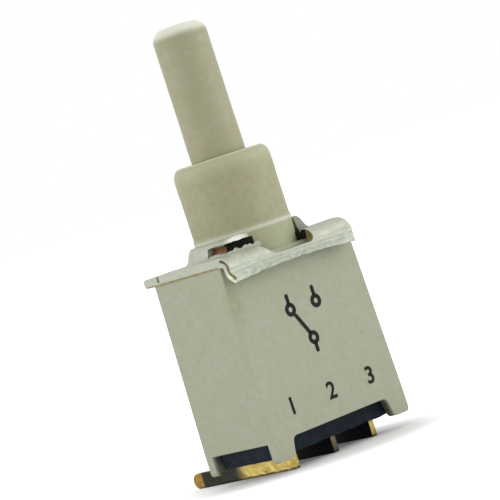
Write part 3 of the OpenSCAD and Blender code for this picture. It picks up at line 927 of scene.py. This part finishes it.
class SWITCH_OT_frame_plate(bpy.types.Operator):
    """Frame plate: bent sheet with a flared lip and two drawn claws round the neck"""

    bl_idname = "switch.frame_plate"
    bl_label = "Frame plate"

    def blank(self, path):
        """The bent sheet with a rounded back edge and a rim cut into strips on the left."""
        wide = PLATE_HIGH.x - PLATE_LOW.x
        leave_edit_mode()
        bpy.ops.object.select_all(action="DESELECT")
        bpy.ops.mesh.primitive_grid_add(x_subdivisions=110, y_subdivisions=1, size=1)
        plate = bpy.context.object
        plate.name = "frame_sheet"
        plate.scale = (wide, path[0][0] - path[1][0], 1)
        plate.location = (0, (path[0][0] + path[1][0]) / 2, path[0][1])
        settle(plate)
        edit(plate, "EDGE")
        pick(plate, "EDGE", lambda e: max(v.co.y for v in e.verts) < path[1][0] + 0.01)
        for (y0, z0), (y1, z1) in zip(path[1:], path[2:]):
            draw_out((0, y1 - y0, z1 - z0))
        leave_edit_mode()
        thick = mm_sizes()["sheet"]
        modify(plate, "SOLIDIFY", thickness=thick, offset=0, use_even_offset=True)
        tidy(plate)
        edit(plate)

        def along_back(edge):
            at_back = min(vert.co.y for vert in edge.verts) > PLATE_HIGH.y - 0.001
            return at_back and abs(span(edge).z) < 0.01

        pick(plate, "EDGE", along_back)
        bpy.ops.mesh.bevel(offset=0.19, segments=6, affect="EDGES")

        def across_left_rim(edge):
            at_rim = max(vert.co.x for vert in edge.verts) < PLATE_LOW.x + 0.001
            return at_rim and abs(span(edge).length - thick) < 0.03

        pick(plate, "EDGE", across_left_rim)
        bpy.ops.mesh.subdivide(number_cuts=5)
        leave_edit_mode()
        return plate

    def sheet(self):
        """The sheet with its groove, arched and ragged lip, soft corner and waviness."""
        path = plate_path()
        plate = self.blank(path)
        lip = Vector((0, -math.sin(LIP_LEAN), -math.cos(LIP_LEAN)))
        under = CASE_HIGH.z
        drop = under - PLATE_LOW.z
        groove, trim, crown = 0.10, 0.05, 0.06
        arch_x, arch_half, arch_rise = -0.4, 4.53, 0.27
        for vert in plate.data.vertices:
            x, y, z = vert.co
            run, side, total = on_sheet(path, y, z)
            if x < PLATE_LOW.x + 0.001 and -3.25 < y < -2.56 and 0.03 < side < 0.10:
                vert.co.x += groove
            share = min(max((run - total) / LIP_LENGTH + 1, 0.0), 1.0)
            ragged = 0.05 * ripple((x, 0, 0), 0.5, 3) + 0.035 * ripple((x, 0, 0), 0.15, 8)
            vert.co -= lip * share * (trim + ragged)
            if z < under:
                arch = arch_rise * (1 - ((x - arch_x) / arch_half) ** 2)
                vert.co.z += arch * (under - z) / drop
                vert.co.y += 0.03 * ripple((x, z, 0), 1.3, 5) + 0.02 * ripple((x, z, 0), 0.4, 9)
            else:
                vert.co.z += 0.012 * ripple((x, y, 0), 1.1, 7)
            soft = 0.6 * ease((1.5 - y) / 2.0)
            inset = corner_inset(x, y)
            if side > 0 and z > PLATE_TOP - 0.5:
                vert.co.z += crown * ease((x - 1.6) / 1.6) * ease((-0.6 - y) / 1.4)
            if side > 0 and z > PLATE_TOP - 0.74 and inset < soft:
                rounded = 1 - max(1 - inset / soft, 0.0) ** 2
                cap = PLATE_TOP - 0.70 + 0.74 * math.sqrt(max(rounded, 0.0))
                least = under + 0.05 - 0.37 * ease((-2.55 - y) / 0.25)
                vert.co.z = min(vert.co.z, max(cap, least))
        modify(plate, "BEVEL", limit_method="ANGLE", angle_limit=1.0, width=0.035, segments=3)
        return plate

    def way_round(self, vert):
        """How far round the neck a vertex of a claw lies, in millimetres."""
        return 2.5 * math.atan2(vert.co.y, vert.co.x)

    def claw(self, name, start, end):
        """One drawn claw: a filleted root, a rounded shoulder and an uneven edge."""
        top = PLATE_HIGH.z
        root = PLATE_TOP
        outline = [
            (2.46, root - 0.41),
            (2.80, root - 0.41),
            (3.04, root - 0.03),
            (2.90, root + 0.06),
            (2.80, root + 0.18),
            (2.74, root + 0.34),
            (2.68, root + 0.50),
            (2.60, top - 0.10),
            (2.52, top - 0.03),
            (2.44, top - 0.005),
            (2.38, top - 0.015),
            (2.345, top - 0.06),
            (2.37, top - 0.25),
            (2.41, root + 0.2),
            (2.46, root),
        ]
        claw = ring_part(name, outline, start, end, int((end - start) / 2))
        for vert in claw.data.vertices:
            if vert.co.z > root + 0.1:
                turn = self.way_round(vert)
                lift = (vert.co.z - root) / (top - root)
                dip = 0.5 + 0.5 * ripple((turn, 0, 0), 0.8, 11)
                vert.co.z -= 0.06 * dip * lift
                out = Vector((vert.co.x, vert.co.y, 0)).normalized()
                vert.co += out * 0.04 * lift * max(0.0, ripple((turn, 0, 0), 0.5, 2))
        return claw

    def torn(self, name, low, high, start, end):
        """A cutter with an uneven lower edge, for torn metal."""
        outline = [(2.2, low), (3.3, low - 0.02), (3.3, high), (2.2, high - 0.02)]
        cutter = ring_part(name, outline, start, end, end - start)
        for vert in cutter.data.vertices:
            turn = self.way_round(vert)
            tear = 0.10 * ripple((turn, 0, 0), 0.14, 4) + 0.08 * ripple((turn, 0, 0), 0.35, 6)
            vert.co.z += tear if vert.co.z < (low + high) / 2 else 0.25 * tear
        return cutter

    def execute(self, context):
        plate = self.sheet()
        top = PLATE_TOP
        boolean(plate, new_rod("hole", 2.65, (0, 0, top - 1), (0, 0, top + 1), 128))
        opening = new_box("opening", (-1.35, -4.2, CASE_HIGH.z - 0.19), (1.25, -2.25, top + 0.8))
        edit(opening)
        pick(opening, "VERT", lambda v: v.co.z > top and v.co.x < 0)
        bpy.ops.transform.translate(value=(-1.1, 0, 0))

        def lower_side(edge):
            return max(vert.co.z for vert in edge.verts) < top - 0.5 and abs(span(edge).y) > 1

        pick(opening, "EDGE", lower_side)
        bpy.ops.mesh.bevel(offset=0.35, segments=6, affect="EDGES")
        leave_edit_mode()
        boolean(plate, opening)
        corner = new_box("corner", (CORNER_X, -4.0, top - 2), (4.6, CORNER_Y, top + 1))
        axis = ((CORNER_X, CORNER_Y, top - 3), (CORNER_X, CORNER_Y, top + 2))
        boolean(corner, new_rod("round", CORNER_RADIUS, *axis))
        boolean(plate, corner)
        left, rear = PLATE_LOW.x, PLATE_HIGH.y
        low = (left - 0.2, rear - 1.1, top - 0.28)
        boolean(plate, new_box("relief", low, (left + 0.12, rear - 0.96, top + 0.2)))
        left_claw = self.claw("left_claw", 125, 240)
        boolean(left_claw, self.torn("window", top + 0.14, top + 0.50, 187, 250))
        boolean(left_claw, self.torn("bar_end", top + 0.12, top + 0.9, 232, 250))
        boolean(plate, left_claw, "UNION")
        boolean(plate, self.claw("right_claw", 312, 415), "UNION")
        edit(plate)
        cut_across(1, (BARE_Y,))
        tidy(plate)
        for vert in plate.data.vertices:
            for axis in range(3):
                vert.co[axis] = min(max(vert.co[axis], PLATE_LOW[axis]), PLATE_HIGH[axis])
        plate.data.materials.clear()
        plate.data.materials.append(tinned_sheet())
        plate.data.materials.append(cut_sheet())
        plate.data.materials.append(gap_residue())
        for face in plate.data.polygons:
            face.material_index = self.finish_of(face.center, face.normal)
        finish_piece(plate, None, FIXED, ["frame_plate"], 40)
        return {"FINISHED"}

    def finish_of(self, spot, normal):
        """0 for tin, 1 for bare sheared metal and 2 for painted shade, by a face's place."""
        in_sheet = CASE_HIGH.z - 0.25 < spot.z < PLATE_TOP - 0.01
        inwards = normal.x * spot.x + normal.y * spot.y < -0.3
        if in_sheet and 0.8 < spot.x < 1.8 and spot.y < -1.9 and inwards:
            return 1 if spot.y < BARE_Y or spot.x > 1.6 else 2
        if spot.z < CASE_HIGH.z + 0.045 and abs(normal.z) < 0.9 and spot.y > -2.3:
            return 1
        if spot.x < PLATE_LOW.x + 0.1 and -3.3 < spot.y < -2.5 and normal.x < -0.3:
            side = on_sheet(plate_path(), spot.y, spot.z)[1]
            return 1 if 0.005 < side < 0.135 else 0
        return 0


class SWITCH_OT_bushing(bpy.types.Operator):
    """Bushing: turned from its bored outline, with a tapered neck and a rounded mouth"""

    bl_idname = "switch.bushing"
    bl_label = "Bushing"

    def execute(self, context):
        size = mm_sizes()
        foot, top = BUSH_LOW.z, BUSH_HIGH.z
        plate_z = CASE_HIGH.z
        ledge_z = PLATE_TOP + size["neck_height"]
        radius, bore, edge = size["barrel_radius"], size["bore_radius"], size["barrel_edge"]
        spigot = 1.745
        outline = [
            (bore, foot),
            (spigot, foot),
            (spigot, plate_z),
            (radius, plate_z),
            (radius + 0.02, (plate_z + ledge_z) / 2),
            (radius + 0.04, ledge_z - 0.05),
            (radius + 0.037, ledge_z - 0.02),
            (radius + 0.025, ledge_z - 0.004),
            (radius + 0.006, ledge_z),
            (radius - 0.004, ledge_z + 0.02),
            (radius, ledge_z + 0.09),
            (radius, ledge_z + 1.2),
        ]
        fall = 1.6  # the rounding is this much longer down the barrel than it is wide
        for r, z in arc((radius - edge, 0), edge, 0, 90, 14):
            outline.append((r, top + (z - edge) * fall))
        outline += [(bore + 0.10, top), (bore + 0.07, top - 0.012), (bore, top - 0.08)]
        bushing = turned("bushing_turned", outline, 128)
        finish_piece(bushing, bushing_plastic(), FIXED, ["bushing"], 40)
        return {"FINISHED"}


class SWITCH_OT_plunger(bpy.types.Operator):
    """Plunger: a turned pin with a softly domed end, a seal groove, a head and a stem"""

    bl_idname = "switch.plunger"
    bl_label = "Plunger"

    def execute(self, context):
        size = mm_sizes()
        top = PLUNGER_HIGH.z
        radius, edge = size["plunger_radius"], size["plunger_edge"]
        mouth = BUSH_HIGH.z
        head = PLUNGER_HIGH.x
        stem, stem_z = 0.70, PLUNGER_LOW.z
        head_z = stem_z + 0.95
        groove, groove_z = 0.81, SEAL_LOW.z - 0.02
        upper = radius - 0.012
        outline = [
            (0.3, stem_z),
            (0.64, stem_z),
            (stem, stem_z + 0.06),
            (stem, head_z),
            (head - 0.05, head_z),
            (head, head_z + 0.05),
            (head, head_z + 0.57),
            (head - 0.05, head_z + 0.62),
            (radius, head_z + 0.62),
            (radius, groove_z),
            (groove, groove_z),
            (groove, mouth),
            (radius - 0.02, mouth),
            (radius, mouth + 0.02),
            (radius, mouth + 0.8),
            (upper, mouth + 2.0),
        ]
        dome = 0.035
        outline += arc((upper - edge, top - dome - edge), edge, 0, 78, 10)
        rim = outline[-1]
        for share in (0.75, 0.5, 0.25, 0.08):
            rise = (top - rim[1]) * (1 - share * share)
            outline.append((rim[0] * share, rim[1] + rise))
        plunger = turned("plunger_turned", outline, 128, closed=False)
        finish_piece(plunger, plunger_plastic(), MOVING, ["plunger"], 40)
        return {"FINISHED"}


class SWITCH_OT_compound(bpy.types.Operator):
    """Sealing compound under the housing, and the bead of sealant beside the neck"""

    bl_idname = "switch.compound"
    bl_label = "Sealing compound"

    def execute(self, context):
        low, high = BLOCK_LOW, BLOCK_HIGH
        edge_z = CASE_LOW.z + mm_sizes()["foot_height"]
        half_x, half_y = high.x, high.y
        block = new_box("compound_block", (-half_x, -half_y, low.z), (half_x, half_y, edge_z))
        edit(block)
        pick(block, "EDGE", lambda e: abs(span(e).z) > 0.5)
        bpy.ops.mesh.bevel(offset=0.15, segments=6, affect="EDGES")
        pick(block, "FACE", lambda f: f.normal.z < -0.9)
        bpy.ops.mesh.inset(thickness=0.12)
        tidy(block)
        edit(block)
        cut_across(0, [i * 0.25 for i in range(-15, 16)])
        cut_across(1, [i * 0.25 for i in range(-6, 7)])
        leave_edit_mode()
        rim = 0.985
        for vert in block.data.vertices:
            side = max(abs(vert.co.x) / half_x, abs(vert.co.y) / half_y)
            if vert.co.z < low.z + 0.1:
                pool = 0.05 + 0.05 * ripple(vert.co, 0.8, 3)
                vert.co.z += max(0.0, pool) * min(1.0, side) + (0.08 if side > rim else 0.0)
                if side > rim:
                    vert.co.x *= 0.985
                    vert.co.y *= 0.98
        slab = new_box(
            "slab", (BASE_LOW.x, BASE_LOW.y, edge_z - 0.05), (BASE_HIGH.x, BASE_HIGH.y, high.z)
        )
        boolean(block, slab, "UNION")
        for leg in LEGS:
            post_low, post_high = box_mm(leg)
            slot = new_box(
                "slot",
                (post_low.x, post_low.y, low.z - 1),
                (post_high.x, post_low.y + 0.4, high.z + 1),
            )
            boolean(block, slot)
        tidy(block)
        finish_piece(
            block, sealing_resin(), FIXED, ["sealing_block"], 50
        )
        self.bead()
        return {"FINISHED"}

    def bead(self):
        """A lumpy bead between the neck and the left claw, and dark pieces beside it that stand in
        for shade in the gap.
        """
        inner = mm_sizes()["barrel_radius"] + 0.035
        low, high = BEAD_LOW.z, BEAD_HIGH.z
        outline = [
            (inner, low),
            (2.40, low),
            (2.44, low + 0.12),
            (2.45, low + 0.28),
            (2.43, low + 0.42),
            (2.40, low + 0.54),
            (2.37, high - 0.06),
            (2.34, high - 0.01),
            (inner, high),
        ]
        thin = [(r - 0.45 * (r - inner), z + 0.08) for r, z in outline]
        floor_z = CASE_HIGH.z + 0.03
        lump = [
            (inner, floor_z),
            (2.58, floor_z),
            (2.6, floor_z + 0.2),
            (2.45, floor_z + 0.36),
            (inner, floor_z + 0.4),
        ]
        sliver = [(inner, floor_z), (2.45, floor_z), (2.45, floor_z + 0.4), (inner, floor_z + 0.9)]
        # Painted shade: dark pieces beside the bead and in the gap right of the neck, where there
        # is only shadow.
        dark = gap_residue()
        for name, section, start, end, material, nodes in (
            ("sealant_bead", outline, 150, 205, neck_bead(), ["neck_sealant"]),
            ("neck_shade", thin, 203, 236, dark, []),
            ("gap_shade_lump", lump, 304, 316, dark, []),
            ("gap_shade_sliver", sliver, 309, 330, dark, []),
        ):
            bead = ring_part(name, section, start, end, 40)
            for vert in bead.data.vertices:
                reach = math.hypot(vert.co.x, vert.co.y)
                if reach > inner + 0.02:
                    dent = 0.05 * max(0.0, ripple(vert.co, 0.3, 6))
                    scale = (reach - dent * (reach - inner) / 0.12) / reach
                    vert.co.x *= scale
                    vert.co.y *= scale
            finish_piece(bead, material, FIXED, nodes, 60)


class SWITCH_OT_terminals(bpy.types.Operator):
    """Terminals: three stamped legs with round tips, each with an upright post"""

    bl_idname = "switch.terminals"
    bl_label = "Terminals"

    def execute(self, context):
        # The second and third legs get painted shade on their sides; the second also a dark grey
        # front end.
        golds = (
            gold_plate("gold_plate", 0.0, 0.0),
            gold_plate("gold_plate_shaded", 0.985, 0.9),
            gold_plate("gold_plate_side_shaded", 0.985, 0.15),
        )
        for name, gold in zip(LEGS, golds):
            low, high = box_mm(name)
            leg_top = BLOCK_LOW.z
            leg = new_box(name + "_leg", low, (high.x, high.y, leg_top))
            edit(leg)
            pick(leg, "EDGE", lambda e: middle(e).y > high.y - 0.01 and abs(span(e).x) > 0.1)
            bpy.ops.mesh.bevel(offset=leg_top / 2 * 0.995, segments=12, affect="EDGES")
            cut_across(1, (low.y + 0.4,))
            pick(leg, "FACE", lambda f: f.normal.z > 0.9 and middle(f).y < low.y + 0.4)
            draw_out((0, 0, high.z - leg_top))
            leave_edit_mode()
            modify(
                leg, "BEVEL", limit_method="ANGLE", angle_limit=0.8, width=0.025, segments=2
            )
            tidy(leg)
            finish_piece(leg, gold, FIXED, [name], 40)
            modify(leg, "WEIGHTED_NORMAL", keep_sharp=True)
        return {"FINISHED"}


INK = (-0.004, 0.012)  # the ink's underside and top, measured from the housing's face


class SWITCH_OT_marks(bpy.types.Operator):
    """Printed marks: terminal numerals and a plain changeover contact symbol"""

    bl_idname = "switch.marks"
    bl_label = "Printed marks"

    def plaque(self, pieces, height):
        """Stand flat ink on the drafted front face at a height."""
        marks = joined("ink", pieces)
        edge_z = CASE_LOW.z + mm_sizes()["foot_height"]
        draft = 0.1
        tilt = math.atan2(draft, CASE_HIGH.z - edge_z)
        front = CASE_LOW.y + (height - edge_z) * math.tan(tilt)
        marks.rotation_euler = (math.radians(90) - tilt, 0, 0)
        marks.location = (0, front, height)
        settle(marks)
        return marks

    def numeral(self, text, x, height):
        """One figure of flat ink in the built-in lettering."""
        low, high = INK
        leave_edit_mode()
        bpy.ops.object.select_all(action="DESELECT")
        bpy.ops.object.text_add(location=(0, 0, 0))
        word = bpy.context.object
        word.data.body = text
        word.data.align_x = "CENTER"
        word.data.align_y = "CENTER"
        word.data.size = height * 1.38  # a figure is lower than its lettering's size
        word.data.extrude = (high - low) / 2
        word.data.offset = 0.022
        word.data.resolution_u = 6
        only(word)
        bpy.ops.object.convert(target="MESH")
        word = bpy.context.object
        word.location = (x, 0, (low + high) / 2)
        settle(word)
        tidy(word)
        return word

    def stroke(self, start, end, width):
        """A flat bar of ink with rounded ends."""
        start, end = Vector((*start, 0)), Vector((*end, 0))
        run = end - start
        low, high = INK
        bar = new_box("stroke", (0, -width / 2, low), (run.length, width / 2, high))
        edit(bar)
        pick(bar, "EDGE", lambda e: abs(span(e).z) > 0.01)
        bpy.ops.mesh.bevel(offset=width * 0.4, segments=4, affect="EDGES")
        leave_edit_mode()
        bar.rotation_euler = (0, 0, math.atan2(run.y, run.x))
        bar.location = start
        settle(bar)
        return bar

    def ring(self, place, radius, width):
        """A flat ring of ink, with a radius to the middle of its line."""
        inner, outer = radius - width / 2, radius + width / 2
        low, high = INK
        ring = turned("ring", [(inner, low), (outer, low), (outer, high), (inner, high)], 40)
        ring.location = (*place, 0)
        settle(ring)
        return ring

    def execute(self, context):
        size = mm_sizes()
        ink = printing_ink()
        numerals = []
        for number, leg in enumerate(LEGS, 1):
            low, high = box_mm(leg)
            place = (low.x + high.x) / 2
            numerals.append(self.numeral(str(number), place, size["numeral_height"]))
        marks = self.plaque(numerals, CASE_LOW.z + 2.15)
        marks.name = "terminal_numerals"
        finish_piece(marks, ink, FIXED, [], 30)
        width = size["ink_line"]
        radius, apart = 0.22, 0.82
        symbol = [
            self.ring((0.0, -0.80), radius, width),
            self.ring((-apart, 0.72), radius, width),
            self.ring((apart, 0.72), radius, width),
            self.stroke((0.0, -1.48), (0.0, -1.00), width),
            self.stroke((-apart, 0.92), (-apart, 1.45), width),
            self.stroke((apart, 0.92), (apart, 1.45), width),
            self.stroke((-0.09, -0.60), (-0.66, 0.46), width),
        ]
        drawn = self.plaque(symbol, CASE_LOW.z + 5.5)
        drawn.name = "contact_symbol"
        finish_piece(drawn, ink, FIXED, [], 30)
        return {"FINISHED"}


class SWITCH_OT_inside(bpy.types.Operator):
    """Inner works: finishes for the base, contacts, carrier, contact spring, spring seat, ring and
    seal
    """

    bl_idname = "switch.inside"
    bl_label = "Inner works"

    def execute(self, context):
        finishes = {slot: plain_finish(slot, *values) for slot, values in HIDDEN.items()}
        for node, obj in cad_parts.items():
            slot = SLOT_OF.get(node)
            if not slot:
                continue
            if not obj.material_slots:
                obj.data.materials.append(None)
            for place in obj.material_slots:
                place.material = finishes[slot]
        return {"FINISHED"}


class SWITCH_OT_return_spring(bpy.types.Operator):
    """Return spring: wire wound with closed end turns, given a mesh of its own"""

    bl_idname = "switch.return_spring"
    bl_label = "Return spring"

    def rise(self, turn, turns, height, pitch):
        """Height of the wire after some turns: closed end turns, open ones between."""
        if turn < 1:
            return turn * pitch
        if turn > turns - 1:
            return height - (turns - turn) * pitch
        return pitch + (turn - 1) * (height - 2 * pitch) / (turns - 2)

    def execute(self, context):
        low, high = box_mm("return_spring")
        wire = 0.2
        turns, steps = 5, 24
        pitch = 1.08 * wire
        height = high.z - low.z - wire
        leave_edit_mode()
        bpy.ops.mesh.primitive_circle_add(
            vertices=8,
            radius=wire / 2,
            location=(high.x - wire / 2, 0, low.z + wire / 2),
            rotation=(math.radians(90), 0, 0),
        )
        spring = bpy.context.object
        spring.name = "return_spring_wire"
        settle(spring)
        edit(spring, "EDGE")
        bpy.ops.mesh.select_all(action="SELECT")
        bpy.ops.mesh.edge_face_add()
        for step in range(turns * steps):
            before = self.rise(step / steps, turns, height, pitch)
            after = self.rise((step + 1) / steps, turns, height, pitch)
            draw_out((0, 0, after - before))
            bpy.ops.transform.rotate(
                value=-2 * math.pi / steps, orient_axis="Z", center_override=(0, 0, 0)
            )
        tidy(spring)
        steel = plain_finish("return_spring_steel", *HIDDEN["spring_steel"])
        finish_piece(spring, steel, FIXED, ["return_spring"], 50)
        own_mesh(spring)
        return {"FINISHED"}


# ---------------------------------------------------------------- stage


class SWITCH_OT_stage(bpy.types.Operator):
    """Stage: pale floor, even soft light and the camera"""

    bl_idname = "switch.stage"
    bl_label = "Stage"

    def camera(self, scene):
        """A long lens from the front left, a little above the middle and turned about its axis."""
        turn, rise, roll = [math.radians(angle) for angle in (-41.894, 1.501, 17.935)]
        middle_z, aside, distance = 9.866, 0.047, 145.97
        across = Vector((math.cos(turn), math.sin(turn), 0))
        flat = math.cos(rise)
        back = Vector((math.sin(turn) * flat, -math.cos(turn) * flat, math.sin(rise)))
        above = back.cross(across)
        right = across * math.cos(roll) - above * math.sin(roll)
        up = above * math.cos(roll) + across * math.sin(roll)
        aim = (Vector((0, 0, middle_z)) + across * aside) * MM
        place = aim + back * distance * MM
        data = bpy.data.cameras.new("camera")
        data.sensor_width = 36
        data.lens = 231.12
        data.clip_start = 0.01
        data.clip_end = 20
        camera = bpy.data.objects.new("camera", data)
        scene.collection.objects.link(camera)
        turned_to = Matrix((right, up, back)).transposed().to_4x4()
        camera.matrix_world = Matrix.Translation(place) @ turned_to
        scene.camera = camera

    def lamp(self, scene, name, place, aim, size, power):
        """A round soft lamp that points at a place."""
        data = bpy.data.lights.new(name, "AREA")
        data.shape = "DISK"
        data.size = size
        data.energy = power
        data.specular_factor = 0.4
        lamp = bpy.data.objects.new(name, data)
        scene.collection.objects.link(lamp)
        lamp.location = place
        lamp.rotation_euler = (Vector(place) - Vector(aim)).to_track_quat("Z", "Y").to_euler()

    def surroundings(self, scene):
        """An even pale room that cameras, gloss and glass see as white."""
        world = bpy.data.worlds.new("room")
        scene.world = world
        world.use_nodes = True
        nodes, links = world.node_tree.nodes, world.node_tree.links
        nodes.clear()

        def light(strength):
            node = nodes.new("ShaderNodeBackground")
            node.inputs["Color"].default_value = (1, 1, 1, 1)
            node.inputs["Strength"].default_value = strength
            return node.outputs[0]

        def either(first, second):
            node = nodes.new("ShaderNodeMath")
            node.operation = "MAXIMUM"
            links.new(first, node.inputs[0])
            links.new(second, node.inputs[1])
            return node.outputs[0]

        rays = nodes.new("ShaderNodeLightPath")
        seen = either(rays.outputs["Is Camera Ray"], rays.outputs["Is Glossy Ray"])
        clear = either(seen, rays.outputs["Is Transmission Ray"])
        mix = nodes.new("ShaderNodeMixShader")
        links.new(clear, mix.inputs["Fac"])
        links.new(light(0.75), mix.inputs[1])
        links.new(light(1.0), mix.inputs[2])
        out = nodes.new("ShaderNodeOutputWorld")
        links.new(mix.outputs[0], out.inputs["Surface"])

    def floor(self):
        """White paper that takes the contact shadow; a painted shadow greys it near the object, and
        its camera-only glow makes it plain white further out.
        """
        leave_edit_mode()
        bpy.ops.mesh.primitive_plane_add(size=4, location=(0, 0, -0.00001))
        floor = bpy.context.object
        floor.name = "floor"
        settle(floor)
        paper = bpy.data.materials.new("floor_paper")
        paper.use_nodes = True
        nodes, links = paper.node_tree.nodes, paper.node_tree.links
        shader = nodes["Principled BSDF"]
        shader.inputs["Base Color"].default_value = (0.9, 0.9, 0.9, 1)
        shader.inputs["Roughness"].default_value = 0.9
        shader.inputs["Specular IOR Level"].default_value = 0.0
        glow = nodes.new("ShaderNodeEmission")
        glow.inputs["Color"].default_value = (1, 1, 1, 1)
        rays = nodes.new("ShaderNodeLightPath")
        share = nodes.new("ShaderNodeMath")
        share.operation = "MULTIPLY"
        links.new(rays.outputs["Is Camera Ray"], share.inputs[0])
        place = nodes.new("ShaderNodeTexCoord")
        reach = nodes.new("ShaderNodeVectorMath")
        reach.operation = "LENGTH"
        links.new(place.outputs["Object"], reach.inputs[0])
        # Painted shadow: the glow drops near the object, so the floor greys round it.
        fade = nodes.new("ShaderNodeMapRange")
        fade.interpolation_type = "SMOOTHSTEP"
        fade.inputs["From Min"].default_value = 0.004
        fade.inputs["From Max"].default_value = 0.009
        fade.inputs["To Min"].default_value = 0.08
        fade.inputs["To Max"].default_value = 0.8
        links.new(reach.outputs["Value"], fade.inputs["Value"])
        links.new(fade.outputs["Result"], share.inputs[1])
        links.new(share.outputs[0], glow.inputs["Strength"])
        both = nodes.new("ShaderNodeAddShader")
        links.new(shader.outputs[0], both.inputs[0])
        links.new(glow.outputs[0], both.inputs[1])
        links.new(both.outputs[0], nodes["Material Output"].inputs["Surface"])
        floor.data.materials.append(paper)

    def execute(self, context):
        scene = context.scene
        scene.view_settings.view_transform = "Standard"
        self.camera(scene)
        self.surroundings(scene)
        self.floor()
        aim = (0, 0, 0.010)
        self.lamp(scene, "left_lamp", (-0.24, 0.18, 0.12), aim, 0.25, 0.27)
        self.lamp(scene, "right_lamp", (0.20, -0.22, 0.12), aim, 0.25, 0.33)
        return {"FINISHED"}


# ---------------------------------------------------------------- panel and run

PIECES = (
    SWITCH_OT_housing,
    SWITCH_OT_frame_plate,
    SWITCH_OT_bushing,
    SWITCH_OT_plunger,
    SWITCH_OT_compound,
    SWITCH_OT_terminals,
    SWITCH_OT_marks,
    SWITCH_OT_inside,
    SWITCH_OT_return_spring,
    SWITCH_OT_stage,
)


class SWITCH_PT_panel(bpy.types.Panel):
    """Sidebar panel with the sizes, the colours and a button for each piece"""

    bl_idname = "SWITCH_PT_panel"
    bl_label = "Miniature Pushbutton Switch"
    bl_space_type = "VIEW_3D"
    bl_region_type = "UI"
    bl_category = "Switch"

    def draw(self, context):
        layout = self.layout
        for group, kind in (
            (context.scene.switch_sizes, SwitchSizes),
            (context.scene.switch_colours, SwitchColours),
        ):
            box = layout.box()
            for name in kind.__annotations__:
                box.prop(group, name)
        for piece in PIECES:
            layout.operator(piece.bl_idname)


CLASSES = (SwitchSizes, SwitchColours, *PIECES, SWITCH_PT_panel)


def register():
    for kind in CLASSES:
        bpy.utils.register_class(kind)
    bpy.types.Scene.switch_sizes = PointerProperty(type=SwitchSizes)
    bpy.types.Scene.switch_colours = PointerProperty(type=SwitchColours)


def unregister():
    del bpy.types.Scene.switch_colours
    del bpy.types.Scene.switch_sizes
    for kind in reversed(CLASSES):
        bpy.utils.unregister_class(kind)


def main():
    register()
    bpy.ops.switch.housing()
    bpy.ops.switch.frame_plate()
    bpy.ops.switch.bushing()
    bpy.ops.switch.plunger()
    bpy.ops.switch.compound()
    bpy.ops.switch.terminals()
    bpy.ops.switch.marks()
    bpy.ops.switch.inside()
    bpy.ops.switch.return_spring()
    bpy.ops.switch.stage()


if __name__ == "__main__":
    main()
